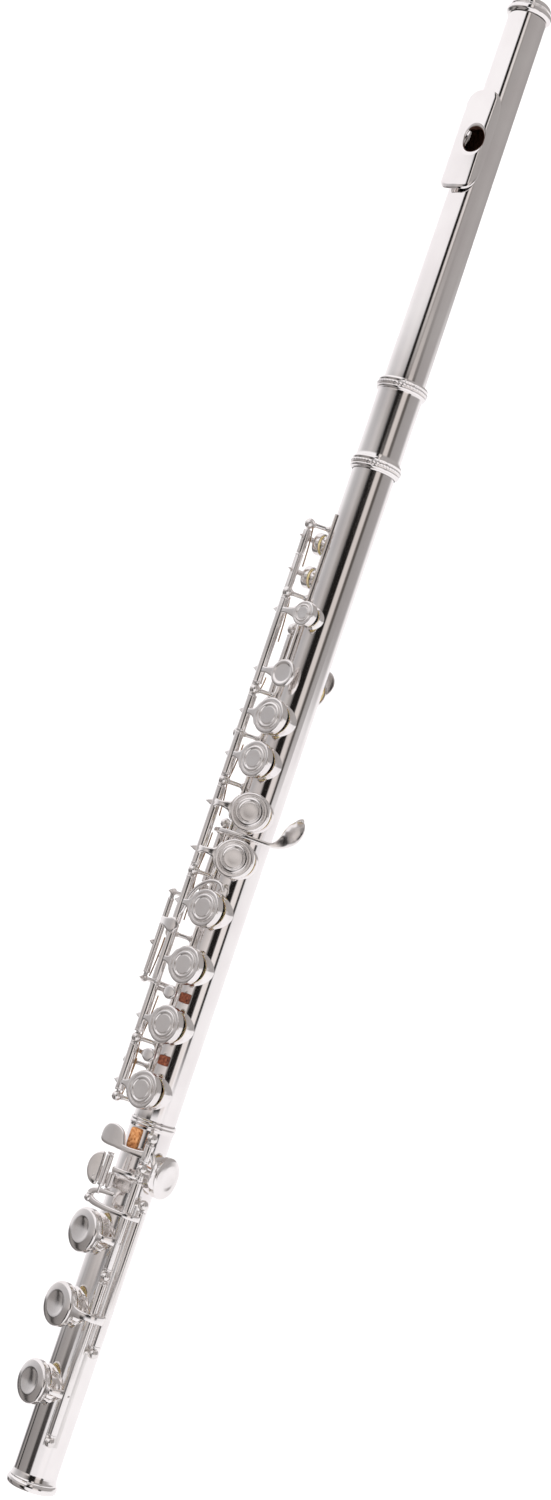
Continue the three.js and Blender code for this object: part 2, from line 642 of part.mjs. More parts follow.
put('head_tube', headTube());
put('lip_plate', lipPlate());
put('crown', crown());
put('stopper', stopper(), STEEL);
put('stopper_cork', stopperCork(), CORK);
put('barrel', barrel());
put('body_tube', bodyTube());
put('main_rib', mainRib());
put('thumb_rib', thumbRib());
put('gsharp_rib', gsharpRib());
put('left_rod', rod(289, 422.6, ROD_R, MAIN), STEEL);
put('right_rod', rod(423.3, 532, ROD_R, MAIN), STEEL);
put('side_rod', rod(434, 478, ROD_R, SIDE), STEEL);
put('thumb_rod', rod(301.5, 340, ROD_R, THUMB), STEEL);
put('gsharp_rod', rod(396, 430.5, ROD_R, GSHARP), STEEL);
put('csharp_key', csharpKey());
put('csharp_pad', openPad(BODY_HOLES.csharp, MAIN), PAD);
put('bflat_key', openKey([BODY_HOLES.bflat], MAIN, 339.3, 356.6));
put('bflat_pad', openPad(BODY_HOLES.bflat, MAIN), PAD);
put('a_key', openKey([BODY_HOLES.a], MAIN, 357.0, 377.2));
put('a_pad', openPad(BODY_HOLES.a, MAIN), PAD);
put('g_key', gKey());
put('g_upper_pad', openPad(BODY_HOLES.g_upper, MAIN), PAD);
put('g_lower_pad', openPad(BODY_HOLES.g_lower, MAIN), PAD);
put('gsharp_key', gsharpKey());
put('gsharp_pad', pad(BODY_HOLES.gsharp), PAD);
put('thumb_b_key', thumbBKey());
put('thumb_b_pad', lifted(pad(BODY_HOLES.thumb), THUMB, -LIFT_DEG), PAD);
put('thumb_bflat_lever', thumbBflatLever());
put('side_lever', sideLever());
put('d_trill_key', dTrillKey());
put('d_trill_pad', pad(BODY_HOLES.d_trill), PAD);
put('dsharp_trill_key', dsharpTrillKey());
put('dsharp_trill_pad', pad(BODY_HOLES.dsharp_trill), PAD);
put('fsharp_key', fsharpKey());
put('fsharp_pad', openPad(BODY_HOLES.fsharp, MAIN), PAD);
put('f_key', openKey([BODY_HOLES.f], MAIN, 448.7, 476.3));
put('f_pad', openPad(BODY_HOLES.f, MAIN), PAD);
put('e_key', openKey([BODY_HOLES.e], MAIN, 476.7, 500.2));
put('e_pad', openPad(BODY_HOLES.e, MAIN), PAD);
put('d_key', openKey([BODY_HOLES.d], MAIN, 505.8, 528.2));
put('d_pad', openPad(BODY_HOLES.d, MAIN), PAD);
put('foot_tube', footTube());
put('foot_rib', footRib());
put('foot_dsharp_rod', rod(542.4, 556.4, ROD_R, FOOT_A), STEEL);
put('foot_c_rod', rod(571.6, 644.4, ROD_R, FOOT_B), STEEL);
put('foot_dsharp_key', footDsharpKey());
put('foot_dsharp_pad', pad(FOOT_HOLES.foot_dsharp), PAD);
put('foot_csharp_key', footCsharpKey());
put('foot_csharp_pad', lifted(pad(FOOT_HOLES.foot_csharp), FOOT_A, -LIFT_DEG), PAD);
put('foot_c_key', footCKey());
put('foot_c_pad', lifted(pad(FOOT_HOLES.foot_c), FOOT_B, -LIFT_DEG), PAD);
put('foot_b_key', footBKey());
put('foot_b_pad', lifted(pad(FOOT_HOLES.foot_b), FOOT_A, -LIFT_DEG), PAD);
put('c_roller', roller(556.2, 570.6, ROLLER_C, FOOT_B));
put('b_roller', roller(563.6, 570.8, ROLLER_B, FOOT_A));

export default flute;
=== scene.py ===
import json
import math

import bpy
import numpy as np
from mathutils import Matrix, Vector


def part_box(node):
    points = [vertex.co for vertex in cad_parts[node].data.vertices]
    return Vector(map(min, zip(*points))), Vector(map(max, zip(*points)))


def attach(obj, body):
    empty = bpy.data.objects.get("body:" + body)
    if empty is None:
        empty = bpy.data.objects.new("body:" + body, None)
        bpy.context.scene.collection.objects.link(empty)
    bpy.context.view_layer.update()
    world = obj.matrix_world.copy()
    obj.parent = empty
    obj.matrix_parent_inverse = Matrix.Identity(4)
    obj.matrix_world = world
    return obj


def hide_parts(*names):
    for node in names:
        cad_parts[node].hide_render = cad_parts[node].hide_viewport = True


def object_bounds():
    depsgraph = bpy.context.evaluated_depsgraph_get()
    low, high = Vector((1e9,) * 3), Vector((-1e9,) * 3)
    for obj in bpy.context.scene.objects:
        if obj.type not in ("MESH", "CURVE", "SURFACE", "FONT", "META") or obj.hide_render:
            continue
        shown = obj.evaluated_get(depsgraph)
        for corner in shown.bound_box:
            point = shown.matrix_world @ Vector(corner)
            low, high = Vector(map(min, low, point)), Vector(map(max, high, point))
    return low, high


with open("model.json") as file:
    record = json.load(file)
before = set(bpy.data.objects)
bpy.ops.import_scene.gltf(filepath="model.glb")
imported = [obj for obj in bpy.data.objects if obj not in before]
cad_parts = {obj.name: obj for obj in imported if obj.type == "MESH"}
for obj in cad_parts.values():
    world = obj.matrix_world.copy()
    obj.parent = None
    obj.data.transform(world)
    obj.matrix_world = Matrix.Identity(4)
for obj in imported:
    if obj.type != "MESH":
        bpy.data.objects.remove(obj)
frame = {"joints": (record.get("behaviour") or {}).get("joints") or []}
cad_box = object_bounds()

# The looks of a concert flute. Sizes are in millimetres in the frame of the CAD model: X runs
# along the bore, +Z is the way the main cups face. A polar angle is measured around the bore
# from +Z towards +Y. Open keys are drawn closed and then lifted by their joint's range.

MM = 0.001
JOINTS = {joint["name"]: joint for joint in frame["joints"]}

TUBE_R = 9.95
FOOT_R = 10.3
RIM_R = 12.2
BEAD_R = 11.9
PAD_BASE = 12.5
PAD_TOP = 14.9
CUP_BASE = 13.0
CUP_POCKET = 15.2
CUP_TOP = 16.9
HINGE_R = 2.15
SLEEVE_R = 1.85
ROD_R = 1.0
BORE_LINE = (0, 0)
ARM_TIP = 4.8
BALL_R = 2.42
THUMB_BALL_R = 3.0
PIN_R = 0.7
CREASE_DEG = 38

# The ribs' inner and outer radius, and where the posts stand on them.
RIB_IN = 9.95
RIB_OUT = 10.95
POST_FOOT = 10.7
FOOT_POST_FOOT = 11.0
MAIN_POSTS = (290, 336.5, 380, 423, 503, 531)
TRILL_POSTS = (256.5, 514)
TRILL_BEARINGS = (357, 453)
SIDE_POSTS = (435.2, 476.6)
THUMB_POSTS = (303, 338.5)
GSHARP_POSTS = (397.5, 429)
FOOT_A_POSTS = (543.6, 557.6, 608.5, 686.6)
FOOT_B_POSTS = (573, 643)

# Half width, half depth and lower edge of the mouth hole's riser.
MOUTH_X = 6.15
MOUTH_Y = 5.1
MOUTH_FOOT = 8.75

# Tone holes: polar angle, hole radius, cup radius.
HOLES = {
    "dsharp_trill": (-88, 3.5, 5.2), "d_trill": (-88, 3.5, 5.2), "csharp": (0, 3.9, 5.9),
    "thumb_b": (-165, 6.3, 8.4), "bflat": (0, 6.4, 8.5), "a": (0, 6.4, 8.5),
    "g_upper": (24, 6.9, 9.1), "g_lower": (24, 6.9, 9.1), "gsharp": (-145, 6.6, 8.6),
    "fsharp": (0, 6.9, 8.9), "f": (0, 6.9, 8.9), "e": (0, 6.9, 8.9), "d": (0, 6.9, 8.9),
    "foot_dsharp": (90, 7.6, 9.8), "foot_csharp": (-29, 8.0, 10.35),
    "foot_c": (-29, 8.0, 10.35), "foot_b": (-29, 8.0, 10.35),
}


# ---------- places taken from the frame ----------
def middle_x(node):
    low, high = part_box(node)
    return (low.x + high.x) / 2 / MM


def span_x(node):
    low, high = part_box(node)
    return low.x / MM, high.x / MM


def line_of(joint):
    place = JOINTS[joint]["pos_m"]
    return place[1] / MM, place[2] / MM


def hole_x(name):
    return middle_x(name + "_pad")


MAIN = line_of("f_hinge")
TRILL = line_of("d_trill_hinge")
SIDE = line_of("side_bflat_hinge")
THUMB = line_of("thumb_b_hinge")
GSHARP = line_of("gsharp_hinge")
FOOT_A = line_of("foot_b_hinge")
FOOT_B = line_of("foot_c_hinge")
LIFT = JOINTS["f_hinge"]["range_deg"][1]
LIP_X = middle_x("lip_plate")


# ---------- shells: (vertices, faces) in millimetres ----------
def merge(*shells):
    verts, faces = [], []
    for points, polygons in shells:
        base = sum(len(v) for v in verts)
        verts.append(np.asarray(points, float))
        faces += [[i + base for i in face] for face in polygons]
    return np.vstack(verts), faces


def grid_faces(rows, columns, wrap_rows=False):
    faces = []
    for i in range(rows if wrap_rows else rows - 1):
        a, b = i * columns, (i + 1) % rows * columns
        for j in range(columns):
            k = (j + 1) % columns
            faces.append([a + j, a + k, b + k, b + j])
    return faces


def caps(rows, columns):
    """The faces that close the first and the last ring."""
    return [list(range(columns))[::-1], list(range((rows - 1) * columns, rows * columns))]


def rounded(points, closed=False, steps=4):
    """Corners given as (u, v, radius) become arcs."""
    out = []
    count = len(points)
    for i, point in enumerate(points):
        u = np.array(point[:2], float)
        radius = point[2] if len(point) > 2 else 0
        ends = not closed and i in (0, count - 1)
        if ends or not radius:
            out.append(u)
            continue
        a = np.array(points[i - 1][:2], float) - u
        b = np.array(points[(i + 1) % count][:2], float) - u
        la, lb = np.linalg.norm(a), np.linalg.norm(b)
        cut = min(radius, la * 0.48, lb * 0.48)
        start, end = u + a / la * cut, u + b / lb * cut
        for k in range(steps + 1):
            t = k / steps
            out.append((1 - t) ** 2 * start + 2 * t * (1 - t) * u + t * t * end)
    return np.array(out)


def lathe(profile, segments=64, closed=False):
    """Turns (radius, height) points about the local Z axis."""
    points = rounded(profile, closed)
    verts, rings = [], []
    for radius, height in points:
        if radius < 1e-6:
            rings.append([len(verts)])
            verts.append((0, 0, height))
            continue
        rings.append(list(range(len(verts), len(verts) + segments)))
        for j in range(segments):
            turn = 2 * math.pi * j / segments
            verts.append((radius * math.cos(turn), radius * math.sin(turn), height))
    faces = []
    pairs = list(zip(rings, rings[1:])) + ([(rings[-1], rings[0])] if closed else [])
    for a, b in pairs:
        for j in range(segments):
            k = (j + 1) % segments
            if len(a) == 1 and len(b) == 1:
                continue
            if len(a) == 1:
                faces.append([a[0], b[k], b[j]])
            elif len(b) == 1:
                faces.append([a[j], a[k], b[0]])
            else:
                faces.append([a[j], a[k], b[k], b[j]])
    return outward_faces(np.array(verts), faces)


def outward_faces(verts, faces):
    volume = 0.0
    for face in faces:
        p = verts[face[0]]
        for i in range(1, len(face) - 1):
            volume += np.dot(p, np.cross(verts[face[i]], verts[face[i + 1]]))
    if volume < 0:
        faces = [face[::-1] for face in faces]
    return verts, faces


def along_bore(shell, line=BORE_LINE):
    v, faces = shell
    return np.column_stack([v[:, 2], v[:, 0] + line[0], v[:, 1] + line[1]]), faces


def in_frame(shell, polar, x=0.0):
    """From a cup's own frame (x, side, height) to the flute's."""
    v, faces = shell
    s, c = math.sin(math.radians(polar)), math.cos(math.radians(polar))
    return np.column_stack([v[:, 0] + x, v[:, 1] * c + v[:, 2] * s, -v[:, 1] * s + v[:, 2] * c]), faces


def to_frame(line, polar):
    s, c = math.sin(math.radians(polar)), math.cos(math.radians(polar))
    return line[0] * c - line[1] * s, line[0] * s + line[1] * c


def polar_of(line):
    return math.degrees(math.atan2(line[0], line[1])), math.hypot(*line)


def turned(shell, line, degrees):
    v, faces = shell
    s, c = math.sin(math.radians(degrees)), math.cos(math.radians(degrees))
    y, z = v[:, 1] - line[0], v[:, 2] - line[1]
    return np.column_stack([v[:, 0], y * c - z * s + line[0], y * s + z * c + line[1]]), faces


def turned_x(profile, line=BORE_LINE, segments=64, closed=False):
    return along_bore(lathe(profile, segments, closed), line)


def sleeve(x0, x1, inner, outer, line, segments=32):
    edge = min(0.18, (outer - inner) * 0.4)
    return turned_x([
        (inner, x0), (outer, x0, edge), (outer, x1, edge), (inner, x1),
    ], line, segments, closed=True)


def bar(x0, x1, radius, line, segments=28):
    return turned_x([(0, x0), (radius, x0, 0.15), (radius, x1, 0.15), (0, x1)], line, segments)


def ball(x, line, radius, segments=28):
    steps = 14
    profile = []
    for i in range(steps + 1):
        turn = math.pi * i / steps
        profile.append((radius * math.sin(turn), x - radius * math.cos(turn)))
    profile[0], profile[-1] = (0, x - radius), (0, x + radius)
    return turned_x(profile, line, segments)


def spline(a, b, c, d, t):
    """A smooth curve from b to c that heads along a to c and b to d."""
    return 0.5 * (2 * b + (c - a) * t + (2 * a - 5 * b + 4 * c - d) * t * t
                  + (3 * b - a - 3 * c + d) * t ** 3)


def smooth_path(rows, steps):
    p = np.array(rows, float)
    p = np.vstack([2 * p[0] - p[1], p, 2 * p[-1] - p[-2]])
    out = []
    for i in range(1, len(p) - 2):
        out += [spline(*p[i - 1:i + 3], k / steps) for k in range(steps)]
    out.append(p[-2])
    return np.array(out)


END_BENDS = (70, 40)


def ribbon(rows, steps=7, sides=24, square=0.5):
    """A rounded strap along rows of (x, side, height, half width, half thickness)."""
    path = smooth_path(rows, steps)
    centre = path[:, :3]
    half = np.maximum(path[:, 3:5], 0.12)
    tangent = np.gradient(centre, axis=0)
    tangent /= np.linalg.norm(tangent, axis=1)[:, None]
    across = np.array([1.0, 0, 0]) - tangent * tangent[:, :1]
    across /= np.linalg.norm(across, axis=1)[:, None]
    normal = np.cross(tangent, across)
    turn = 2 * np.pi * np.arange(sides) / sides
    u = np.sign(np.cos(turn)) * np.abs(np.cos(turn)) ** square
    v = np.sign(np.sin(turn)) * np.abs(np.sin(turn)) ** square
    rings = []

    def ring(i, shrink, push):
        spot = centre[i] + tangent[i] * push * half[i, 1]
        return (spot + np.outer(u * half[i, 0] * shrink, across[i])
                + np.outer(v * half[i, 1] * shrink, normal[i]))

    ends = [(math.cos(math.radians(angle)), math.sin(math.radians(angle))) for angle in END_BENDS]
    rings += [ring(0, c, -s) for c, s in ends]
    rings += [ring(i, 1, 0) for i in range(len(path))]
    rings += [ring(len(path) - 1, c, s) for c, s in ends[::-1]]
    verts = np.vstack(rings)
    return outward_faces(verts, grid_faces(len(rings), sides) + caps(len(rings), sides))


def arc_plate(x0, x1, low, high, start, end, steps=14):
    """A curved strip on the tube, with softened long edges."""
    loop = []
    edge = math.degrees(0.25 / high)
    for i in range(steps + 1):
        loop.append((start + (end - start) * i / steps, low))
    loop.append((end, high - 0.25))
    for i in range(steps + 1):
        loop.append((end - edge + (start - end + 2 * edge) * i / steps, high))
    loop.append((start, high - 0.25))
    section = np.array([(r * math.sin(math.radians(a)), r * math.cos(math.radians(a))) for a, r in loop])
    rings = [np.column_stack([np.full(len(section), x), section]) for x in (x0, x1)]
    count = len(section)
    return outward_faces(np.vstack(rings), grid_faces(2, count) + caps(2, count))


# ---------- materials ----------
def nodes_of(name):
    material = bpy.data.materials.new(name)
    material.use_nodes = True
    tree = material.node_tree
    shader = tree.nodes["Principled BSDF"]
    coords = tree.nodes.new("ShaderNodeTexCoord")
    return material, tree, shader, coords.outputs["Object"]


def noise(tree, coords, scale, detail=3.0, stretch=(1, 1, 1)):
    mapping = tree.nodes.new("ShaderNodeMapping")
    mapping.inputs["Scale"].default_value = stretch
    tree.links.new(coords, mapping.inputs["Vector"])
    texture = tree.nodes.new("ShaderNodeTexNoise")
    texture.inputs["Scale"].default_value = scale
    texture.inputs["Detail"].default_value = detail
    tree.links.new(mapping.outputs["Vector"], texture.inputs["Vector"])
    return texture.outputs["Fac"]


def ramp(tree, value, stops):
    node = tree.nodes.new("ShaderNodeValToRGB")
    while len(node.color_ramp.elements) < len(stops):
        node.color_ramp.elements.new(0.5)
    for element, (position, colour) in zip(node.color_ramp.elements, stops):
        element.position = position
        element.color = (*colour, 1)
    tree.links.new(value, node.inputs["Fac"])
    return node.outputs["Color"]


def span(tree, value, low, high):
    node = tree.nodes.new("ShaderNodeMapRange")
    node.inputs["To Min"].default_value = low
    node.inputs["To Max"].default_value = high
    tree.links.new(value, node.inputs["Value"])
    return node.outputs["Result"]


def bump(tree, shader, height, strength, distance):
    node = tree.nodes.new("ShaderNodeBump")
    node.inputs["Strength"].default_value = strength
    node.inputs["Distance"].default_value = distance
    tree.links.new(height, node.inputs["Height"])
    tree.links.new(node.outputs["Normal"], shader.inputs["Normal"])


def plated(name, light, dark, rough, grain=(1, 1, 1), ripple=0.02):
    """Polished silver plate: faint handling marks and a very shallow ripple."""
    material, tree, shader, coords = nodes_of(name)
    shader.inputs["Metallic"].default_value = 1.0
    marks = noise(tree, coords, 55, 4)
    tree.links.new(ramp(tree, marks, [(0.3, dark), (0.62, light)]), shader.inputs["Base Color"])
    tree.links.new(span(tree, noise(tree, coords, 140, 5, grain), *rough), shader.inputs["Roughness"])
    bump(tree, shader, noise(tree, coords, 320, 2, grain), ripple, 0.00004)
    return material


def pad_skin():
    material, tree, shader, coords = nodes_of("pad_membrane")
    shader.inputs["Roughness"].default_value = 0.42
    shader.inputs["Subsurface Weight"].default_value = 0.15
    shader.inputs["Subsurface Scale"].default_value = 0.002
    patches = noise(tree, coords, 260, 4)
    tree.links.new(ramp(tree, patches, [
        (0.25, (0.62, 0.42, 0.14)), (0.5, (0.85, 0.68, 0.34)), (0.8, (0.93, 0.84, 0.58)),
    ]), shader.inputs["Base Color"])
    bump(tree, shader, noise(tree, coords, 1500, 3), 0.25, 0.0002)
    return material


def cork(name, dark, middle, light):
    material, tree, shader, coords = nodes_of(name)
    shader.inputs["Roughness"].default_value = 0.85
    grain = noise(tree, coords, 900, 6)
    shades = ramp(tree, grain, [(0.3, dark), (0.5, middle), (0.72, light)])
    tree.links.new(shades, shader.inputs["Base Color"])
    bump(tree, shader, grain, 0.5, 0.0004)
    return material


def painted_bore_shade():
    """Painted shade and painted reflection: a near-black brown for the bore and the riser seen through
    the mouth hole, where the hollow lies in shade and mirrors the cork.
    """
    material, tree, shader, coords = nodes_of("bore_painted_shade")
    shader.inputs["Metallic"].default_value = 0.4
    patches = noise(tree, coords, 160, 5)
    tree.links.new(ramp(tree, patches, [
        (0.3, (0.035, 0.014, 0.009)), (0.55, (0.085, 0.036, 0.022)), (0.8, (0.14, 0.065, 0.04)),
    ]), shader.inputs["Base Color"])
    tree.links.new(span(tree, patches, 0.5, 0.7), shader.inputs["Roughness"])
    bump(tree, shader, patches, 0.15, 0.0002)
    return material


def pale_floor():
    material, tree, shader, coords = nodes_of("pale_floor")
    shader.inputs["Roughness"].default_value = 0.9
    tree.links.new(ramp(tree, noise(tree, coords, 3, 2), [
        (0.0, (0.90, 0.90, 0.90)), (1.0, (0.93, 0.93, 0.93)),
    ]), shader.inputs["Base Color"])
    return material


SILVER = plated("silver_tube", (0.95, 0.93, 0.915), (0.90, 0.87, 0.86), (0.07, 0.13), (0.15, 1, 1))
KEYWORK = plated("silver_keys", (0.94, 0.92, 0.905), (0.86, 0.83, 0.81), (0.12, 0.22), ripple=0.04)
CAST = plated("silver_posts", (0.90, 0.88, 0.86), (0.80, 0.77, 0.75), (0.14, 0.26), ripple=0.06)
STEEL = plated("rod_steel", (0.70, 0.69, 0.68), (0.58, 0.57, 0.56), (0.16, 0.28), (0.1, 1, 1))
SPRING = plated("bronze_spring", (0.52, 0.33, 0.18), (0.30, 0.17, 0.09), (0.2, 0.35))
PAD = pad_skin()
CORK = cork("cork_grain", (0.22, 0.07, 0.02), (0.52, 0.22, 0.08), (0.70, 0.38, 0.17))
DARK_CORK = cork("dark_cork", (0.05, 0.012, 0.008), (0.16, 0.045, 0.022), (0.27, 0.09, 0.045))
# The near-black brown inside the mouth hole is painted shade and painted reflection of the cork.
BORE_PAINTED_SHADE = painted_bore_shade()


# ---------- making pieces ----------
def piece(name, shell, material, body, nodes=(), crease=CREASE_DEG):
    verts, faces = shell
    mesh = bpy.data.meshes.new(name)
    mesh.from_pydata((np.asarray(verts) * MM).tolist(), [], faces)
    mesh.validate()
    mesh.polygons.foreach_set("use_smooth", [True] * len(mesh.polygons))
    mesh.set_sharp_from_angle(angle=math.radians(crease))
    mesh.materials.append(material)
    obj = bpy.data.objects.new(name, mesh)
    bpy.context.scene.collection.objects.link(obj)
    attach(obj, body)
    if nodes:
        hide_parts(*nodes)
    return obj


def cut(obj, shell):
    """Cuts a shell out of a piece and keeps the result as its mesh."""
    mesh = bpy.data.meshes.new("cutter")
    mesh.from_pydata((np.asarray(shell[0]) * MM).tolist(), [], shell[1])
    cutter = bpy.data.objects.new("cutter", mesh)
    bpy.context.scene.collection.objects.link(cutter)
    modifier = obj.modifiers.new("cut", "BOOLEAN")
    modifier.operation = "DIFFERENCE"
    modifier.solver = "EXACT"
    modifier.object = cutter
    graph = bpy.context.evaluated_depsgraph_get()
    result = bpy.data.meshes.new_from_object(obj.evaluated_get(graph))
    obj.modifiers.remove(modifier)
    obj.data = result
    bpy.data.objects.remove(cutter)
    result.polygons.foreach_set("use_smooth", [True] * len(result.polygons))
    result.set_sharp_from_angle(angle=math.radians(CREASE_DEG))


# ---------- tubes ----------
def oval_loop(half_x, half_y, height, count):
    turns = [2 * math.pi * i / count for i in range(count)]
    return [(half_x * math.cos(turn), half_y * math.sin(turn), height) for turn in turns]


def column(half_x, half_y, low, high, count=64):
    loops = oval_loop(half_x, half_y, low, count) + oval_loop(half_x, half_y, high, count)
    return outward_faces(np.array(loops, float), grid_faces(2, count) + caps(2, count))


def chimney(name, tube_r, bore_r, segments=56):
    """A drawn tone hole: its foot follows the tube, and its rim is rolled."""
    polar, hole, _ = HOLES[name]
    wall = hole + 0.55
    rings = [(wall + 0.75, None, tube_r), (wall + 0.25, None, tube_r + 0.35), (wall, None, tube_r + 0.9),
             (wall, RIM_R - 0.6, 0), (wall + 0.22, RIM_R - 0.42, 0), (wall + 0.26, RIM_R - 0.2, 0),
             (wall + 0.1, RIM_R - 0.02, 0), (wall - 0.25, RIM_R, 0), (hole, RIM_R - 0.2, 0),
             (hole, None, tube_r), (hole, None, bore_r - 0.05), (wall + 0.75, None, bore_r + 0.1)]
    verts = []
    for radius, height, on in rings:
        for j in range(segments):
            turn = 2 * math.pi * j / segments
            side = radius * math.sin(turn)
            h = height if height is not None else math.sqrt(max(on * on - side * side, 1))
            verts.append((radius * math.cos(turn), side, h))
    shell = outward_faces(np.array(verts), grid_faces(len(rings), segments, wrap_rows=True))
    return in_frame(shell, polar, hole_x(name))


def hole_cutters(names):
    shells = []
    for name in names:
        polar, hole, _ = HOLES[name]
        shells.append(in_frame(lathe([(0, 5), (hole, 5), (hole, 14), (0, 14)], 56), polar, hole_x(name)))
    return merge(*shells)


def head():
    x0, x1 = span_x("head_tube")
    tube = piece("head_tube_shell", turned_x([
        (8.35, x0), (8.8, x0, 0.1), (9.05, 90), (9.7, 180), (9.7, x1, 0.12), (9.25, x1), (9.25, 180),
        (8.6, 90),
    ], segments=128, closed=True), SILVER, "head_joint", ["head_tube"])
    mouth = in_frame(column(MOUTH_X + 0.8, MOUTH_Y + 0.8, 4, 14), 0, LIP_X)
    cut(tube, mouth)
    # A thin dark sleeve inside the head tube, no real part: painted shade for the bore seen through the
    # mouth hole.
    bore_shade_cover = piece("head_bore_painted_shade_sleeve", sleeve(56.5, 110, 8.1, 8.3, BORE_LINE, 96), BORE_PAINTED_SHADE, "head_joint")
    cut(bore_shade_cover, mouth)
    # A thin dark sheet over the riser's silver wall: painted shade inside the mouth hole.
    piece("mouth_hole_painted_shade_sheet", mouth_shade_sheet(), BORE_PAINTED_SHADE, "head_joint")
    piece("lip_plate_shell", lip_plate(), SILVER, "head_joint", ["lip_plate"], 50)
    crown_profile = [
        (0, 0), (4.3, 0.02, 1.5), (7.6, 0.7, 1.6), (9.25, 2.3, 1.0), (9.3, 3.6, 0.2), (8.9, 3.9, 0.15),
        (8.9, 4.3, 0.15), (9.6, 4.6, 0.2), (10.45, 5.2, 0.4), (10.45, 7.0, 0.4), (9.7, 7.6, 0.3),
        (9.3, 8.0), (8.05, 8.05), (8.05, 14.5), (2.2, 14.5), (2.2, 2.0), (0, 2.0)]
    piece("crown_cap_shell", turned_x(crown_profile, segments=96), SILVER, "crown_cap", ["crown"])
    low, high = span_x("stopper")
    threads = [sleeve(low + 2 + 1.5 * i, low + 2.8 + 1.5 * i, 1.6, 2.0, BORE_LINE) for i in range(16)]
    plates = [sleeve(a, b, 1.7, 7.9, BORE_LINE, 64) for a, b in ((33.5, 35), (53, high))]
    piece("stopper_screw_and_plates", merge(
        bar(low, high, 1.8, BORE_LINE), *plates, *threads,
    ), STEEL, "stopper_assembly", ["stopper"])
    low, high = span_x("stopper_cork")
    piece("stopper_cork_plug", turned_x([
        (2.1, low), (8.05, low, 0.4), (7.95, (low + high) / 2), (8.05, high, 0.4), (2.1, high),
    ], segments=64, closed=True), CORK, "stopper_assembly", ["stopper_cork"])


def mouth_shade_sheet(count=64):
    """A thin sheet just inside the riser's wall, down to the bore, that carries the painted shade of the
    mouth hole.
    """
    verts = []
    for inset, reach in ((0.03, 8.7), (0.03, 11.75), (0.17, 11.75), (0.17, 8.7)):
        for i in range(count):
            turn = 2 * math.pi * i / count
            y = (MOUTH_Y - inset) * math.sin(turn)
            x = LIP_X + (MOUTH_X - inset) * math.cos(turn)
            verts.append((x, y, math.sqrt(reach * reach - y * y)))
    return outward_faces(np.array(verts), grid_faces(4, count, wrap_rows=True))


def lip_height(polar):
    """How far the lip plate's top stands from the bore's axis."""
    stops = np.array([-72, -66, -57, -45, -34, -22, 0, 22, 34, 46])
    radii = np.array([13.0, 13.55, 13.75, 13.1, 12.4, 12.0, 11.9, 11.6, 11.0, 10.35])
    return np.interp(polar, stops, radii)


def lip_plate(count=128):
    """The plate follows the tube, curls up on the lip side, and has an oval mouth hole."""
    half_x, middle, half_polar = 23.4, -12.5, 55.0
    levels = [0, 0.012, 0.04, 0.1, 0.2, 0.32, 0.45, 0.58, 0.7, 0.8, 0.88, 0.94, 0.975, 0.993, 1.0]
    loops = []

    def ring(t, drop, grow=0.0, fixed=None):
        loop = []
        for i in range(count):
            turn = 2 * math.pi * i / count
            c, s = math.cos(turn), math.sin(turn)
            inner_polar = math.degrees(math.asin((MOUTH_Y + grow) * s / 12.0))
            x = (1 - t) * (MOUTH_X + grow) * c + t * half_x * np.sign(c) * abs(c) ** 0.42
            polar = (1 - t) * inner_polar + t * (middle + half_polar * np.sign(s) * abs(s) ** 0.62)
            radius = lip_height(polar) + 0.25 * (1 - t) ** 2 - drop if fixed is None else fixed
            a = math.radians(polar)
            loop.append((LIP_X + x, radius * math.sin(a), radius * math.cos(a)))
        loops.append(loop)

    for t in levels:
        edge_in = 0.35 * max(0, 1 - t / 0.04) ** 2
        edge_out = 0.45 * max(0, (t - 0.94) / 0.06) ** 2
        ring(t, edge_in + edge_out)
    for t in levels[::-1][:-2]:
        ring(t, 0.95 if t < 1 else 0.7, grow=0.9)
    ring(0.0, 0, 0.9, 9.4)
    ring(0.0, 0, 0.75, MOUTH_FOOT)
    ring(0.0, 0, 0.15, MOUTH_FOOT)
    verts = np.vstack([np.array(loop) for loop in loops])
    return outward_faces(verts, grid_faces(len(loops), count, wrap_rows=True))


def bead_profile(x0, x1):
    """A ring with a rounded edge on each side of a twisted wire's groove."""
    mid = (x0 + x1) / 2
    top = BEAD_R - 0.15
    return [(10.5, x0, 0.2), (11.35, x0 + 0.25, 0.5), (top, x0 + 1.2, 0.5), (11.2, mid - 0.95, 0.2),
            (11.15, mid), (11.2, mid + 0.95, 0.2), (top, x1 - 1.2, 0.5), (11.35, x1 - 0.25, 0.5),
            (10.5, x1, 0.2)]


def twisted_wire(x, radius=11.2, thick=0.72, count=46, segments=230):
    """A rope of bright wire lying in a ring's groove."""
    verts, sides = [], 10
    for i in range(segments):
        around = 2 * math.pi * i / segments
        for j in range(sides):
            turn = 2 * math.pi * j / sides
            lobe = thick * (1 + 0.16 * math.cos(2 * turn + count * around))
            r = radius + lobe * math.cos(turn)
            verts.append((x + lobe * math.sin(turn), r * math.sin(around), r * math.cos(around)))
    return outward_faces(np.array(verts), grid_faces(segments, sides, wrap_rows=True))


def barrel():
    x0, x1 = span_x("barrel")
    ring_a, ring_b = (x0 + 0.1, x0 + 5.6), (x1 - 6.2, x1 - 0.5)
    body = [(9.95, x0), (10.3, x0, 0.1), *bead_profile(*ring_a), (10.42, x0 + 7, 0.5),
            (10.32, (x0 + x1) / 2), (10.42, x1 - 7.4, 0.5), *bead_profile(*ring_b),
            (10.4, x1, 0.1), (10.2, x1), (10.2, x1 - 3), (9.95, x1 - 3)]
    piece("barrel_sleeve", turned_x(body, segments=128, closed=True), SILVER, "flute_body", ["barrel"])
    wires = [twisted_wire(sum(ring) / 2) for ring in (ring_a, ring_b)]
    piece("barrel_beading", merge(*wires), SILVER, "flute_body")


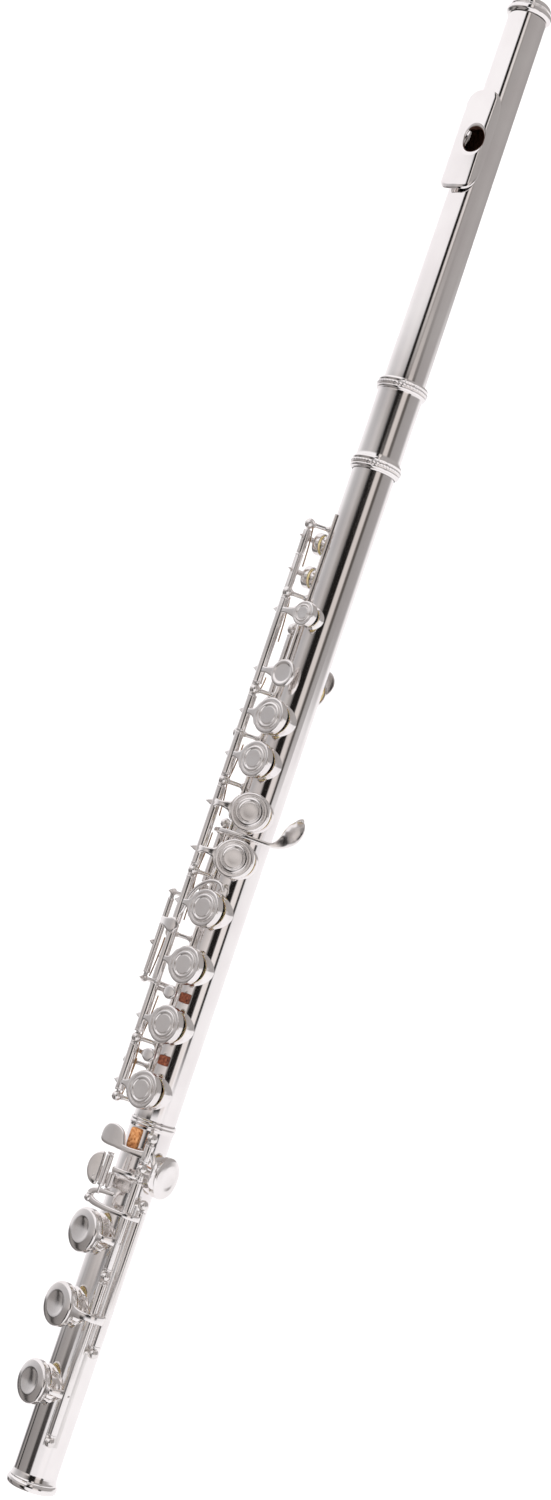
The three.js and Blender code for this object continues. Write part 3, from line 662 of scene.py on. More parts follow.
def polar_point(polar, radius):
    return radius * math.sin(math.radians(polar)), radius * math.cos(math.radians(polar))


BODY_HOLES = [name for name in HOLES if not name.startswith("foot_")]
FOOT_HOLES = [name for name in HOLES if name.startswith("foot_")]


def body_tube():
    x0, x1 = span_x("body_tube")
    shoulder = span_x("foot_tube")[0] - 0.3
    tube = piece("body_tube_shell", turned_x([
        (9.5, x0), (TUBE_R, x0), (TUBE_R, shoulder, 0.1), (9.55, shoulder), (9.55, x1, 0.1), (9.1, x1),
        (9.1, shoulder - 3), (9.5, shoulder - 5),
    ], segments=128, closed=True), SILVER, "flute_body", ["body_tube"])
    cut(tube, hole_cutters(BODY_HOLES))
    piece("body_tone_holes", merge(*[chimney(n, TUBE_R, 9.5) for n in BODY_HOLES]), SILVER, "flute_body")


def foot_tube():
    x0, x1 = span_x("foot_tube")
    tenon = span_x("body_tube")[1]
    tube = piece("foot_tube_shell", turned_x([
        (9.85, x0), (10.5, x0 + 0.05, 0.2), (10.8, x0 + 0.5, 0.3), (10.82, x0 + 1.1, 0.3),
        (10.45, x0 + 1.6, 0.2), (10.82, x0 + 2.1, 0.3), (10.82, x0 + 2.9, 0.3), (10.5, x0 + 3.4, 0.2),
        (FOOT_R, x0 + 4.2, 0.3), (FOOT_R, x1 - 7.2, 0.6), (10.75, x1 - 5.0, 0.5), (11.0, x1 - 4.4, 0.2),
        (10.9, x1 - 4.0, 0.1),
        (11.5, x1 - 3.6, 0.3), (BEAD_R - 0.05, x1 - 2.6, 0.6), (BEAD_R - 0.05, x1 - 1.0, 0.6),
        (11.2, x1 - 0.15, 0.3), (10.6, x1, 0.2), (9.5, x1),
        (9.5, tenon + 4), (9.1, tenon + 0.8), (9.85, tenon + 0.3),
    ], segments=128, closed=True), SILVER, "foot_joint", ["foot_tube"])
    cut(tube, hole_cutters(FOOT_HOLES))
    piece("foot_tone_holes", merge(*[chimney(n, FOOT_R, 9.5) for n in FOOT_HOLES]), SILVER, "foot_joint")


# ---------- posts, ribs and rods ----------
def post(x, line, low, radius=BALL_R):
    polar, reach = polar_of(line)
    neck = reach - radius
    profile = [(0, low), (2.0, low), (2.0, low + 0.35, 0.15), (1.35, low + 0.75, 0.3),
               (1.0, low + 1.7, 0.4), (1.0, neck - 0.5, 0.3), (1.35, neck - 0.1, 0.2),
               (1.2, neck + 0.25, 0.1)]
    for i in range(4, 17):
        turn = math.pi * i / 16
        if radius * math.sin(turn) > 1.25 or i > 8:
            profile.append((radius * math.sin(turn), reach - radius * math.cos(turn)))
    profile[-1] = (0, reach + radius)
    return in_frame(lathe(profile, 36), polar, x)


def side_post(x):
    path = [(-10.8, 1.6), (-14.5, 1.0), (-18.6, 2.0), (-22.0, 5.6), (SIDE[0], SIDE[1] - 1.5)]
    stem = ribbon([(x, y, z, 1.0, 0.85) for y, z in path], sides=20, square=0.8)
    y, z = SIDE
    point = ribbon([
        (x, y + 0.1, z - 1.9, 1.0, 0.9), (x, y, z, 1.75, 1.7), (x, y - 0.1, z + 1.5, 1.1, 1.0),
        (x, y - 0.2, z + 3.4, 0.35, 0.35),
    ], sides=20, square=0.9)
    return merge(stem, point)


def spring(x0, x1, line, offset):
    """A needle spring runs from its post to the hook on a hinge tube."""
    polar, reach = polar_of(line)
    a, b = polar_point(polar, reach - 1.9), polar_point(polar + offset, reach - 3.0)
    steps = 10
    rows = []
    for i in range(steps + 1):
        t = i / steps
        sag = 0.5 * math.sin(math.pi * t)
        rows.append((x0 + (x1 - x0) * t, a[0] + (b[0] - a[0]) * t, a[1] + (b[1] - a[1]) * t - sag))
    return wire(rows, 0.32)


def wire(points, radius, sides=10):
    p = np.array(points, float)
    tangent = np.gradient(p, axis=0)
    tangent /= np.linalg.norm(tangent, axis=1)[:, None]
    up = np.array([0, 0.3, 1.0])
    across = np.cross(tangent, up)
    across /= np.linalg.norm(across, axis=1)[:, None]
    normal = np.cross(across, tangent)
    verts = []
    for i in range(len(p)):
        for j in range(sides):
            turn = 2 * math.pi * j / sides
            verts.append(p[i] + radius * (math.cos(turn) * across[i] + math.sin(turn) * normal[i]))
    return outward_faces(np.array(verts), grid_faces(len(p), sides) + caps(len(p), sides))


def body_frame():
    low, high = span_x("main_rib")
    trill_end = hole_x("csharp") - 12
    shells = [arc_plate(low, trill_end, RIB_IN, RIB_OUT, -42, -57),
              arc_plate(trill_end, high, RIB_IN, RIB_OUT, -42, -80)]
    shells += [post(x, MAIN, POST_FOOT) for x in MAIN_POSTS]
    shells += [post(x, TRILL, POST_FOOT) for x in TRILL_POSTS]
    shells += [post(x, TRILL, POST_FOOT, 2.9) for x in TRILL_BEARINGS]
    shells += [side_post(x) for x in SIDE_POSTS]
    piece("main_rib_and_posts", merge(*shells), CAST, "flute_body", ["main_rib"])
    small_ribs = (("thumb_rib", -98, -118, THUMB, THUMB_POSTS, THUMB_BALL_R),
                  ("gsharp_rib", -86, -94, GSHARP, GSHARP_POSTS, BALL_R))
    for node, start, end, line, places, radius in small_ribs:
        plate = arc_plate(*span_x(node), RIB_IN, RIB_OUT, start, end)
        posts = [post(x, line, POST_FOOT, radius) for x in places]
        piece(node + "_and_posts", merge(plate, *posts), CAST, "flute_body", [node])
    rods = {"left_rod": MAIN, "right_rod": MAIN, "side_rod": SIDE, "thumb_rod": THUMB,
            "gsharp_rod": GSHARP}
    for node, line in rods.items():
        a, b = span_x(node)
        piece(node + "_steel", bar(a, b, ROD_R, line), STEEL, "flute_body", [node])
    springs = [spring(257, 276, TRILL, -3), spring(292, 313, MAIN, 4), spring(338, 330, MAIN, 4),
               spring(379, 362, MAIN, 4), spring(381, 396, MAIN, 4), spring(424, 446, MAIN, 4),
               spring(502, 482, MAIN, 4), spring(530, 512, MAIN, 4), spring(475, 456, SIDE, 2),
               spring(304, 316, THUMB, 3), spring(337, 322, THUMB, 3), spring(398, 411, GSHARP, 3),
               spring(504, 519, MAIN, -5), spring(422, 404, MAIN, -5)]
    piece("body_needle_springs", merge(*springs), SPRING, "flute_body")


def foot_frame():
    low, high = span_x("foot_rib")
    split = hole_x("foot_dsharp") + 11
    shells = [arc_plate(low, split, FOOT_R, FOOT_R + 0.95, 26, 38),
              arc_plate(split, high, FOOT_R, FOOT_R + 0.95, 26, 62)]
    shells += [post(x, FOOT_A, FOOT_POST_FOOT) for x in FOOT_A_POSTS]
    shells += [post(x, FOOT_B, FOOT_POST_FOOT) for x in FOOT_B_POSTS]
    piece("foot_rib_and_posts", merge(*shells), CAST, "foot_joint", ["foot_rib"])
    for node, line in {"foot_dsharp_rod": FOOT_A, "foot_c_rod": FOOT_B}.items():
        a, b = span_x(node)
        piece(node + "_steel", bar(a, b, ROD_R, line), STEEL, "foot_joint", [node])
    springs = [spring(574, 594, FOOT_B, 3), spring(609, 588, FOOT_A, 3), spring(642, 622, FOOT_B, 3),
               spring(686, 664, FOOT_A, 3), spring(544, 552, FOOT_A, 3)]
    piece("foot_needle_springs", merge(*springs), SPRING, "foot_joint")
    bumper = block([
        (546.2, -0.6, 9.6, 4.8, 2.85), (546.2, -0.6, 11.0, 4.8, 2.85), (546.2, -0.6, 11.8, 4.5, 2.6)])
    piece("dsharp_touch_bumper", bumper, CORK, "foot_joint")


# ---------- keys ----------
def cup_skirt(r, shoulder, soft):
    """The pad's pocket and the cup's outer wall, up to the shoulder."""
    pocket = r - 0.45
    return [(0, CUP_POCKET), (pocket, CUP_POCKET), (pocket, CUP_BASE), (r - 0.05, CUP_BASE, 0.15),
            (r - 0.02, CUP_TOP - shoulder, soft)]


def cup(name):
    polar, _, r = HOLES[name]
    rings = [(0.93, 0.55, 0.3), (0.80, 0.52, 0.15), (0.77, 0.95, 0.15), (0.73, 0.88, 0.15),
             (0.70, 0.2, 0.3), (0.58, 0.02, 0.3), (0.53, 0.55, 0.15), (0.49, 0.55, 0.1),
             (0.465, 0.22, 0.15), (0.25, 0.3, 0)]
    return in_frame(lathe([
        *cup_skirt(r, 1.2, 0.5), *[(r * share, CUP_TOP - drop, soft) for share, drop, soft in rings],
        (0, CUP_TOP - 0.33),
    ], 96), polar, hole_x(name))


def domed_cup(name):
    polar, _, r = HOLES[name]
    rings = [(0.92, 0.45, 0.6), (0.78, 0.05, 0.8), (0.64, -0.22, 0.9), (0.55, -0.2, 0.7),
             (0.42, 0.12, 1.2), (0.20, 0.38, 1.2)]
    return in_frame(lathe([
        *cup_skirt(r, 1.25, 0.6), *[(r * share, CUP_TOP - drop, soft) for share, drop, soft in rings],
        (0, CUP_TOP - 0.42),
    ], 96), polar, hole_x(name))


def pad(name):
    polar, hole, r = HOLES[name]
    rim = r - 0.75
    return in_frame(lathe([
        (0, PAD_BASE + 0.02), (hole - 0.4, PAD_BASE + 0.02), (hole + 0.1, PAD_BASE + 0.14, 0.2),
        (hole + 0.7, PAD_BASE + 0.03, 0.3), (rim - 0.3, PAD_BASE + 0.1, 0.5), (rim, PAD_BASE + 0.7, 0.5),
        (rim, PAD_TOP, 0.2), (0, PAD_TOP),
    ], 72), polar, hole_x(name))


def cup_arm(name, line, start=None, tip=ARM_TIP):
    polar, _, r = HOLES[name]
    return arm(hole_x(name), polar, r, line, start, tip)


def arm(x, polar, r, line, start=None, tip=ARM_TIP):
    """A pointed arm: a small tip, the hinge, a waist, and a petal into the cup's side."""
    side_y, height = to_frame(line, polar)
    side = math.copysign(1, side_y)
    edge = side * r
    start = x if start is None else start
    top = 14.65
    rows = []
    if tip:
        rows += [(start, side_y + side * tip, height - 0.35, 0.25, 0.4),
                 (start, side_y + side * (tip * 0.55), height - 0.1, 1.25, 0.85)]
    rows += [(start, side_y, height + 0.25, 2.3, 1.25),
             (start, side_y * 0.87 + edge * 0.13, height * 0.5 + top * 0.5, 1.75, 0.95),
             (start * 0.6 + x * 0.4, side_y * 0.55 + edge * 0.45, top - 0.05, 1.35, 0.85),
             (start * 0.2 + x * 0.8, edge + side * 1.1, top, 2.3, 0.8),
             (x, edge - side * 0.25, top + 0.05, r * 0.50, 0.72),
             (x, edge - side * 1.6, top + 0.45, r * 0.66, 0.5)]
    return in_frame(ribbon(rows), polar)


def hinge(x0, x1, line, outer=HINGE_R, inner=1.25):
    collars = [sleeve(x, x + 0.5, inner, outer + 0.12, line) for x in (x0 + 0.35, x1 - 0.85)]
    return merge(sleeve(x0, x1, inner, outer, line), *collars)


def key(body, shell, line=MAIN, lift=0.0, pads=None):
    """A key and its pads are drawn closed, and lifted about their hinge."""
    piece(body + "_key_silver", turned(shell, line, lift), KEYWORK, body, [body + "_key"])
    for name in pads or [body]:
        piece(name + "_pad_disc", turned(pad(name), line, lift), PAD, body, [name + "_pad"])


def open_key(body, hinge_x, extras=(), names=None, tip=ARM_TIP):
    names = names or [body]
    shells = [hinge(*hinge_x, MAIN)]
    for name in names:
        shells += [cup(name), cup_arm(name, MAIN, tip=tip)]
    key(body, merge(*shells, *extras), MAIN, LIFT, names)


def index_touch(x):
    button = in_frame(lathe([
        (0, 13.3), (4.1, 13.3, 0.2), (4.1, 14.4, 0.2), (6.0, 14.9, 0.4), (6.55, 15.5, 0.4),
        (6.5, 16.2, 0.4), (5.8, 16.85, 0.4), (4.9, 16.8, 0.3), (4.2, 16.5, 0.4), (0, 16.45),
    ], 72), 0, x)
    return merge(button, arm(x, 0, 6.4, MAIN))


def fsharp_bridge():
    """A thin curved arm bows round the F sharp cup and back to its hinge."""
    x = hole_x("fsharp")
    rows = [(x - 9.6, 6.4, 14.2, 1, 1), (x - 12.2, 4.2, 14.5, 1, 1), (x - 12.9, 0.4, 14.6, 1, 1),
            (x - 11.6, -4.0, 14.6, 1, 1), (x - 8.2, -8.2, 14.6, 1, 1), (x - 3.0, -11.2, 14.5, 1, 1),
            (x + 2.6, -12.6, 14.2, 1, 1), (x + 6.4, -14.2, 13.9, 1, 1)]
    path = smooth_path(rows, 5)
    return wire(path[:, :3], 0.95, 16)


def body_keys():
    open_key("csharp", (292.8, 333.7), [index_touch(327)])
    open_key("bflat", (339.3, 356.6))
    open_key("a", (357.0, 377.2))
    open_key("g", (382.8, 420.2), names=["g_upper", "g_lower"])
    open_key("fsharp", (425.8, 448.3), [fsharp_bridge()])
    open_key("f", (448.7, 476.3), tip=3.2)
    open_key("e", (476.7, 500.2))
    open_key("d", (505.8, 528.2))


def gsharp_key():
    x = 402.05
    rows = [(x, GSHARP[0], GSHARP[1], 1.0, 1.2)]
    rows += [(x, *polar_point(a, 16.1), 1.0, 0.95) for a in range(-72, 41, 16)]
    rows += [(x, 15.7, 8.9, 1.0, 0.9), (401.2, 18.0, 7.0, 1.7, 0.8), (398.6, 20.6, 5.3, 3.1, 0.72),
             (395.2, 22.8, 4.5, 4.2, 0.66), (391.4, 24.4, 4.2, 4.0, 0.62), (388.2, 25.3, 4.3, 2.6, 0.55),
             (386.8, 25.8, 4.5, 0.9, 0.4)]
    key("gsharp", merge(
        hinge(400.4, 426.1, GSHARP), ribbon(rows), cup("gsharp"), cup_arm("gsharp", GSHARP, tip=0),
    ))


def thumb_keys():
    polar = HOLES["thumb_b"][0]
    plate = in_frame(thumb_plate(hole_x("thumb_b")), polar)
    lift = -JOINTS["thumb_b_hinge"]["range_deg"][1]
    key("thumb_b", merge(
        hinge(319.6, 335.7, THUMB), cup("thumb_b"), cup_arm("thumb_b", THUMB, tip=0), plate,
    ), THUMB, lift)
    side_y, height = to_frame(THUMB, polar)
    lever = in_frame(ribbon([
        (309.5, side_y, height, 2.2, 1.1), (309.5, side_y - 1.8, 13.2, 1.9, 0.9),
        (309.5, 9.4, 15.6, 2.0, 0.8), (309.4, 5.6, 16.6, 3.2, 0.75), (309.4, 1.6, 17.1, 3.7, 0.75),
        (309.5, -1.4, 17.3, 2.8, 0.65), (309.6, -3.0, 17.4, 0.9, 0.4),
    ]), polar)
    shell = turned(merge(hinge(305.8, 319.2, THUMB), lever), THUMB, lift)
    piece("thumb_bflat_lever_silver", shell, KEYWORK, "thumb_bflat", ["thumb_bflat_lever"])


def thumb_plate(x):
    """An oval thumb rest lies across the cup's top edge."""
    profile = [(0, 15.5), (5.9, 15.5, 0.3), (6.3, 16.0, 0.3), (6.1, 16.75, 0.4), (4.4, 17.1, 0.5),
               (0, 16.95)]
    v, faces = lathe(profile, 72)
    return np.column_stack([v[:, 0] + x - 5.5, v[:, 1] * 0.8 - 5.5, v[:, 2]]), faces


def side_lever():
    y, z = SIDE
    touch = ribbon([
        (448.6, y, z, 1.9, 1.1), (448.8, y + 1.4, z + 3.2, 1.8, 0.85),
        (449.2, y + 5.0, z + 6.1, 2.0, 0.8), (449.6, -13.8, 19.1, 3.4, 0.85),
        (449.6, -11.6, 19.3, 3.3, 0.85), (449.5, -10.0, 19.2, 1.4, 0.5),
    ])
    foot = ribbon([
        (459.5, y, z, 1.5, 1.0), (459.5, y - 1.6, z + 0.9, 1.2, 0.7), (459.5, y - 2.5, z + 1.3, 0.4, 0.4),
    ])
    shell = merge(hinge(438.1, 473.8, SIDE, 1.5), touch, foot)
    piece("side_lever_silver", shell, KEYWORK, "side_bflat", ["side_lever"])


def trill_arm(name):
    polar = HOLES[name][0]
    x = hole_x(name)
    side_y, height = to_frame(TRILL, polar)
    rows = [(x, side_y + 3.9, height + 0.8, 0.25, 0.35), (x, side_y + 1.4, height + 0.3, 1.0, 0.8),
            (x, side_y, height, 1.6, 1.0), (x, side_y - 1.8, height - 1.3, 1.2, 0.8),
            (x, 4.4, 16.2, 1.3, 0.75), (x, 2.4, 16.2, 2.4, 0.6), (x, 0.4, 16.1, 2.0, 0.45)]
    return in_frame(ribbon(rows), polar)


def trill_touch(x):
    y, z = TRILL
    return ribbon([
        (x, y, z, 1.3, 1.0), (x, -14.6, 8.8, 1.1, 0.75), (x, -11.4, 11.5, 1.1, 0.75),
        (x, -8.6, 14.4, 1.2, 0.75), (x, -6.8, 15.9, 2.0, 0.8), (x, -4.8, 16.6, 3.1, 0.85),
        (x, -2.9, 16.8, 3.0, 0.8), (x, -1.4, 16.8, 1.6, 0.55),
    ])


def trill_bumper(x):
    """A block of cork glued on the tube below a trill touch."""
    y, low, high, half = 0.9, 9.75, 12.0, 2.35
    top = half * 0.94
    return block([(x, y, low, half, half), (x, y, (low + high) / 2, half, half), (x, y, high, top, top)])


def block(rows, corner=0.25, count=36):
    """A soft-edged block from rows of (x, y, z, half x, half y)."""
    turn = 2 * np.pi * np.arange(count) / count
    u = np.sign(np.cos(turn)) * np.abs(np.cos(turn)) ** corner
    v = np.sign(np.sin(turn)) * np.abs(np.sin(turn)) ** corner
    rings = [np.column_stack([x + u * a, y + v * b, np.full(count, z)]) for x, y, z, a, b in rows]
    return outward_faces(np.vstack(rings), grid_faces(len(rows), count) + caps(len(rows), count))


def trill_keys():
    collars = [sleeve(a, a + 0.5, 1.1, SLEEVE_R + 0.12, TRILL) for a in (271.3, 300, 340, 410, 481.5)]
    key("d_trill", merge(
        sleeve(271, 482.5, 1.1, SLEEVE_R, TRILL), cup("d_trill"), trill_arm("d_trill"),
        trill_touch(478.8), *collars,
    ))
    rod = bar(*span_x("dsharp_trill_key"), 0.9, TRILL)
    sleeves = [sleeve(a, b, 0.8, SLEEVE_R, TRILL) for a, b in ((259.5, 270.6), (503, 511))]
    key("dsharp_trill", merge(
        rod, *sleeves, cup("dsharp_trill"), trill_arm("dsharp_trill"), trill_touch(508.5),
    ))
    piece("trill_cork_bumpers", merge(trill_bumper(479.2), trill_bumper(508.8)), DARK_CORK, "flute_body")


def outline_plate(outline, surface, half=0.72):
    """A plate of any outline: its middle follows surface(x, y), and its edges are rounded."""
    loop = smooth_loop(outline)
    centre = loop.mean(axis=0)
    levels = [(0.0, 1.0), (0.35, 1.0), (0.7, 1.0), (0.88, 1.0), (0.95, 0.86), (0.985, 0.6), (1.0, 0.25)]
    levels += [(t, -h) for t, h in levels[::-1]]
    verts, rows = [], []
    for t, h in levels:
        if t == 0:
            rows.append([len(verts)])
            verts.append((*centre, surface(*centre) + h * half))
            continue
        rows.append(list(range(len(verts), len(verts) + len(loop))))
        for p in centre + (loop - centre) * t:
            verts.append((*p, surface(*p) + h * half))
    faces = []
    for a, b in zip(rows, rows[1:]):
        for j in range(len(loop)):
            k = (j + 1) % len(loop)
            if len(a) == 1:
                faces.append([a[0], b[j], b[k]])
            elif len(b) == 1:
                faces.append([a[j], b[0], a[k]])
            else:
                faces.append([a[j], b[j], b[k], a[k]])
    return outward_faces(np.array(verts), faces)


def smooth_loop(outline, steps=6):
    p = np.array(outline, float)
    out = []
    for i in range(len(p)):
        corners = [p[(i + k) % len(p)] for k in (-1, 0, 1, 2)]
        out += [spline(*corners, k / steps) for k in range(steps)]
    return np.array(out)


def dsharp_touch():
    """The flat touch of the D sharp key, and the bar that carries it over the tube."""
    def surface(x, y):
        return 16.3 - 0.012 * (y + 3) ** 2
    plate = outline_plate([
        (552.9, -1.6), (552.9, -6), (552.8, -11), (552.0, -14.2), (549.6, -15.3), (546.2, -14.9),
        (543.6, -12.8), (542.6, -9.6), (543.1, -6), (544.8, -3.2), (547.6, -1.8), (550.4, -1.0),
    ], surface)
    bar_up = ribbon([
        (551.6, *FOOT_A, 2.4, 1.1), (551.7, 7.4, 15.6, 1.7, 0.85), (551.8, 2.6, 16.5, 1.4, 0.8),
        (551.7, -1.2, 16.4, 1.4, 0.75), (551.4, -3.6, 16.3, 1.5, 0.6),
    ])
    return merge(plate, bar_up)


def csharp_touch():
    """The half-moon touch of the low C sharp key, stepped down under the rollers."""
    def surface(x, y):
        return 15.0 - 0.03 * (y + 11) ** 2
    plate = outline_plate([
        (571.2, -8.4), (571.3, -10.6), (569.6, -12.9), (566.4, -14.6), (562.6, -15.0), (559.2, -13.8),
        (556.9, -11.4), (556.3, -8.6), (560.2, -8.2), (566, -8.2),
    ], surface)
    bar_up = ribbon([
        (567.4, *FOOT_A, 2.9, 1.1), (567.4, 7.6, 12.7, 2.8, 0.75), (567.4, 3, 11.75, 2.8, 0.7),
        (567.4, -1.5, 11.75, 2.8, 0.7), (567.2, -6.6, 11.95, 2.8, 0.7), (566.4, -8.6, 13.4, 3.4, 0.7),
        (565.6, -9.8, 14.6, 3.6, 0.6),
    ])
    return merge(plate, bar_up)


def foot_keys():
    lift = -JOINTS["foot_c_hinge"]["range_deg"][1]
    key("foot_dsharp", merge(
        hinge(546.4, 554.8, FOOT_A), domed_cup("foot_dsharp"),
        cup_arm("foot_dsharp", FOOT_A, start=550.8, tip=0), dsharp_touch(),
    ))
    key("foot_csharp", merge(
        hinge(563.7, 605.6, FOOT_A), domed_cup("foot_csharp"),
        cup_arm("foot_csharp", FOOT_A, tip=2.4), csharp_touch(),
    ), FOOT_A, lift)
    foot_c_key(lift)
    foot_b_key(lift)


def roller(x0, x1, line):
    return turned_x([
        (1.0, x0), (1.5, x0, 0.2), (1.65, x0 + 0.6, 0.3), (1.65, x1 - 0.6, 0.3), (1.5, x1, 0.2),
        (1.0, x1),
    ], line, 36, closed=True)


def roller_line(joint, line, lift):
    y, z = line_of(joint)
    shell = turned((np.array([[0.0, y, z]]), []), line, -lift)
    return tuple(shell[0][0][1:])


def foot_c_key(lift):
    polar, _, r = HOLES["foot_c"]
    x = hole_x("foot_c")
    side_y, height = to_frame(FOOT_B, polar)
    petal = in_frame(ribbon([
        (x, side_y, height, 2.4, 1.2), (x, 20.6, 6, 2.0, 0.9), (x, 19.6, 10.5, 1.7, 0.85),
        (x, 15.8, 13.9, 1.8, 0.8), (x, r + 1.0, 14.7, 2.6, 0.75), (x, r - 0.4, 14.8, 5.2, 0.7),
        (x, r - 1.8, 15.1, 6.6, 0.5),
    ]), polar)
    y, z = FOOT_B
    lever = ribbon([
        (579.4, y, z, 1.7, 1.1), (579.5, 15.8, 15.2, 1.3, 0.85), (579.4, 12.2, 18.9, 1.2, 0.85),
        (579.3, 5, 19.5, 1.2, 0.85), (579.0, -2, 18.5, 1.3, 0.85), (578.2, -6.6, 17.2, 1.5, 0.9),
        (576.4, -8.6, 16.6, 1.6, 0.9), (574.2, -7.9, 16.7, 1.4, 0.85), (572.9, -4.4, 17.3, 1.1, 0.8),
        (572.5, 0.5, 18.0, 1.0, 0.8), (572.5, 3.2, 18.2, 0.9, 0.7),
    ], sides=20)
    at = roller_line("c_roller_spin", FOOT_B, lift)
    pins = [bar(555.6, 574.5, PIN_R, at), bar(555.0, 555.9, 1.5, at), ball(577.6, (-9.0, 16.2), 2.1)]
    key("foot_c", merge(
        hinge(575.9, 640.1, FOOT_B), domed_cup("foot_c"), petal, lever, *pins,
    ), FOOT_B, lift)
    low_roller("c_roller")


def foot_b_key(lift):
    y, z = FOOT_A
    at = roller_line("b_roller_spin", FOOT_A, lift)
    lever = ribbon([
        (561.8, y, z, 1.4, 1.1), (561.8, 8, 17.3, 1.2, 0.8), (561.8, 3, 18.4, 1.2, 0.75),
        (561.8, at[0], at[1] + 0.3, 1.3, 0.8),
    ])
    rod = bar(*span_x("foot_b_key"), ROD_R, FOOT_A)
    hinges = [hinge(a, b, FOOT_A, inner=0.9) for a, b in ((560.4, 563.3), (611.4, 683.8))]
    pins = [bar(562, 571.4, PIN_R, at), bar(571.1, 571.8, 1.4, at)]
    key("foot_b", merge(
        rod, *hinges, domed_cup("foot_b"), cup_arm("foot_b", FOOT_A, tip=2.4), lever, *pins,
    ), FOOT_A, lift)
    low_roller("b_roller")


def low_roller(name):
    shell = roller(*span_x(name), line_of(name + "_spin"))
    piece(name + "_silver", shell, KEYWORK, "low_" + name, [name])


# ---------- stage, light and camera ----------
VIEW_POLAR = 31.0
CAMERA_FAR = 1.1
CAMERA_X = 0.467
LEAN = math.asin(0.3208)
LENS_MM = 58.08
FRAMING = (0.0479, 0.1506)
FLOOR_DROP = 0.25
FLOOR_HALF = 6.0


def floor():
    low, high = cad_box
    z = min(low[2], high[2]) - FLOOR_DROP
    a = FLOOR_HALF
    mesh = bpy.data.meshes.new("studio_floor")
    mesh.from_pydata([(-a, -a, z), (a, -a, z), (a, a, z), (-a, a, z)], [], [(0, 1, 2, 3)])
    mesh.materials.append(pale_floor())
    obj = bpy.data.objects.new("studio_floor", mesh)
    bpy.context.scene.collection.objects.link(obj)
    obj.visible_glossy = False


def colour_range():
    """Plain display colours, so that white stays white and the polish keeps its blacks."""
    bpy.context.scene.view_settings.view_transform = "Standard"


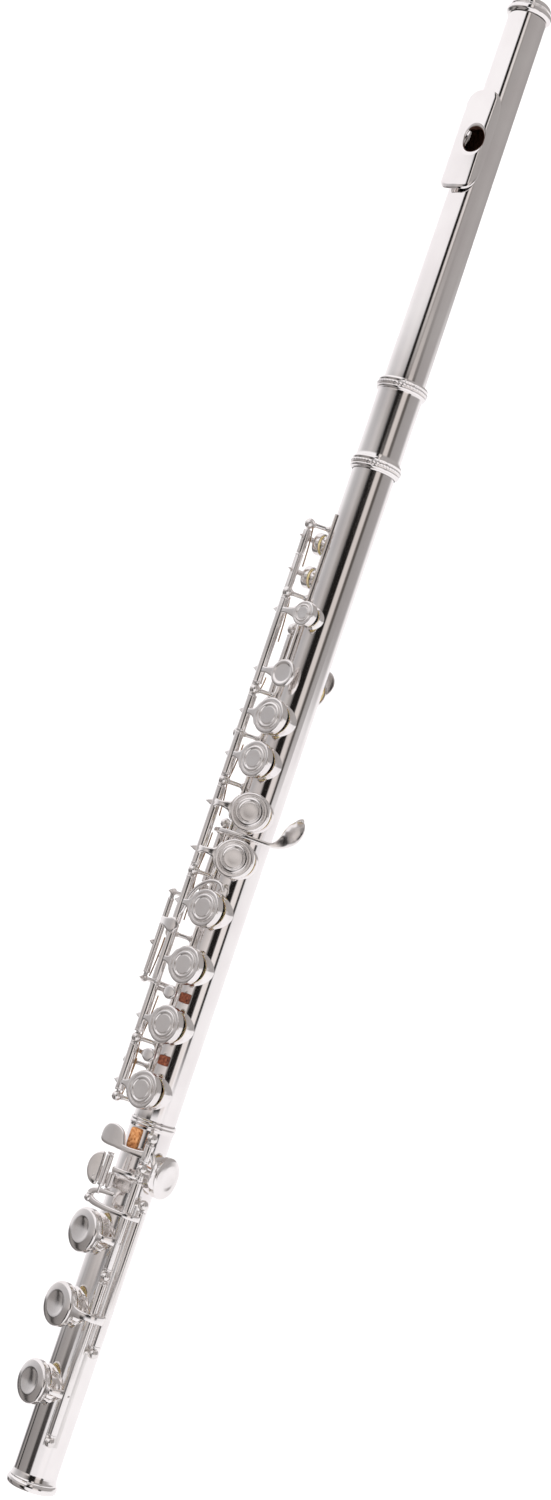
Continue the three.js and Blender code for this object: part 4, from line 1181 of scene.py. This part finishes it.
def surroundings():
    """What the silver reflects: white sides, dark slots and grey flags, in four zones along X."""
    world = bpy.data.worlds.new("studio")
    bpy.context.scene.world = world
    world.use_nodes = True
    tree = world.node_tree
    background = tree.nodes["Background"]
    coords = tree.nodes.new("ShaderNodeTexCoord")
    split = tree.nodes.new("ShaderNodeSeparateXYZ")
    tree.links.new(coords.outputs["Generated"], split.inputs[0])
    polar = tree.nodes.new("ShaderNodeMath")
    polar.operation = "ARCTAN2"
    tree.links.new(split.outputs["Y"], polar.inputs[0])
    tree.links.new(split.outputs["Z"], polar.inputs[1])
    place = tree.nodes.new("ShaderNodeMapRange")
    place.inputs["From Min"].default_value = -math.pi
    place.inputs["From Max"].default_value = math.pi
    tree.links.new(polar.outputs[0], place.inputs["Value"])

    def pattern(stops):
        return ramp(tree, place.outputs["Result"], [((a + 180) / 360, colour) for a, colour in stops])

    def grey(level, warmth=0.0):
        return level * (1.015 + warmth), level * 0.985, level * (1.005 - warmth)

    white, black = grey(0.97), grey(0.010, 0.1)
    head_joint = pattern([
        (-180, grey(0.36, 0.03)), (-150, grey(0.40, 0.03)), (-138, white), (9, white), (13, black),
        (24, black), (28, grey(0.74, 0.04)), (38, grey(0.74, 0.04)), (41, grey(0.18, 0.08)),
        (46, grey(0.35, 0.03)), (120, grey(0.40, 0.03)), (180, grey(0.36, 0.03))])
    upper_body = pattern([
        (-180, white), (-105, grey(0.90)), (-70, grey(0.52)), (-49, grey(0.44)), (-22, grey(0.50, 0.03)),
        (0, grey(0.26, 0.06)), (9, grey(0.06)), (12, black), (38, black), (45, grey(0.64, 0.06)),
        (62, grey(0.62, 0.06)), (69, grey(0.08, 0.1)), (78, grey(0.10, 0.1)), (85, grey(0.33, 0.03)),
        (140, grey(0.38, 0.02)), (162, white), (180, white)])
    lower_body = pattern([
        (-180, white), (-105, grey(0.90)), (-72, grey(0.52)), (-49, grey(0.42, 0.02)),
        (-24, grey(0.55, 0.04)), (2, grey(0.70, 0.04)), (12, black), (38, black), (44, grey(0.80, 0.04)),
        (66, grey(0.80, 0.04)), (71, black), (79, black), (84, grey(0.88)), (180, white)])
    foot_joint = pattern([
        (-180, white), (-122, grey(0.90)), (-106, grey(0.08)), (-96, grey(0.10)),
        (-88, grey(0.32, 0.04)), (-79, grey(0.28, 0.04)), (-76, black), (-70, black),
        (-67, grey(0.26, 0.04)), (-22, grey(0.30, 0.04)), (-14, black), (4, black), (10, grey(0.90)),
        (60, white), (180, white)])
    seen_by = head_joint
    zones = ((upper_body, -0.31, -0.23), (lower_body, -0.12, -0.05), (foot_joint, 0.11, 0.18))
    for colours, low, high in zones:
        side = tree.nodes.new("ShaderNodeMapRange")
        side.interpolation_type = "SMOOTHSTEP"
        side.inputs["From Min"].default_value = low
        side.inputs["From Max"].default_value = high
        tree.links.new(split.outputs["X"], side.inputs["Value"])
        blend = tree.nodes.new("ShaderNodeMix")
        blend.data_type = "RGBA"
        tree.links.new(side.outputs["Result"], blend.inputs["Factor"])
        tree.links.new(seen_by, blend.inputs["A"])
        tree.links.new(colours, blend.inputs["B"])
        seen_by = blend.outputs["Result"]
    paths = tree.nodes.new("ShaderNodeLightPath")
    seen = tree.nodes.new("ShaderNodeMix")
    seen.data_type = "RGBA"
    seen.inputs["B"].default_value = (1, 1, 1, 1)
    tree.links.new(paths.outputs["Is Camera Ray"], seen.inputs["Factor"])
    tree.links.new(seen_by, seen.inputs["A"])
    tree.links.new(seen.outputs["Result"], background.inputs["Color"])
    background.inputs["Strength"].default_value = 1.0


def softbox(name, place, aim, size, power):
    light = bpy.data.lights.new(name, "AREA")
    light.shape = "RECTANGLE"
    light.size, light.size_y = size
    light.energy = power
    obj = bpy.data.objects.new(name, light)
    bpy.context.scene.collection.objects.link(obj)
    obj.location = place
    obj.rotation_euler = (Vector(aim) - Vector(place)).to_track_quat("-Z", "Y").to_euler()
    obj.visible_glossy = False


def lights():
    softbox("top_softbox", (0.36, 0.0, 1.6), (0.36, 0, 0), (2.4, 1.8), 26)
    softbox("left_softbox", (0.36, -1.5, 1.0), (0.36, 0, 0), (2.0, 1.0), 10)
    softbox("right_softbox", (0.36, 1.5, 1.0), (0.36, 0, 0), (2.0, 1.0), 8)


def camera():
    """The bore runs to the lower left of the frame, seen from above and from the +Y side."""
    tilt = math.radians(VIEW_POLAR)
    back = Vector((0, math.sin(tilt), math.cos(tilt)))
    bore = Vector((1, 0, 0))
    across = back.cross(bore)
    right = bore * -math.sin(LEAN) + across * math.cos(LEAN)
    up = bore * -math.cos(LEAN) - across * math.sin(LEAN)
    data = bpy.data.cameras.new("photo_view")
    data.lens = LENS_MM
    data.sensor_width = 36
    data.shift_x, data.shift_y = FRAMING
    obj = bpy.data.objects.new("photo_view", data)
    bpy.context.scene.collection.objects.link(obj)
    matrix = Matrix((right, up, back)).transposed().to_4x4()
    matrix.translation = Vector((CAMERA_X, 0, 0)) + back * CAMERA_FAR
    obj.matrix_world = matrix
    bpy.context.scene.camera = obj


head()
barrel()
body_tube()
foot_tube()
body_frame()
foot_frame()
body_keys()
gsharp_key()
thumb_keys()
side_lever()
trill_keys()
foot_keys()
floor()
colour_range()
surroundings()
lights()
camera()
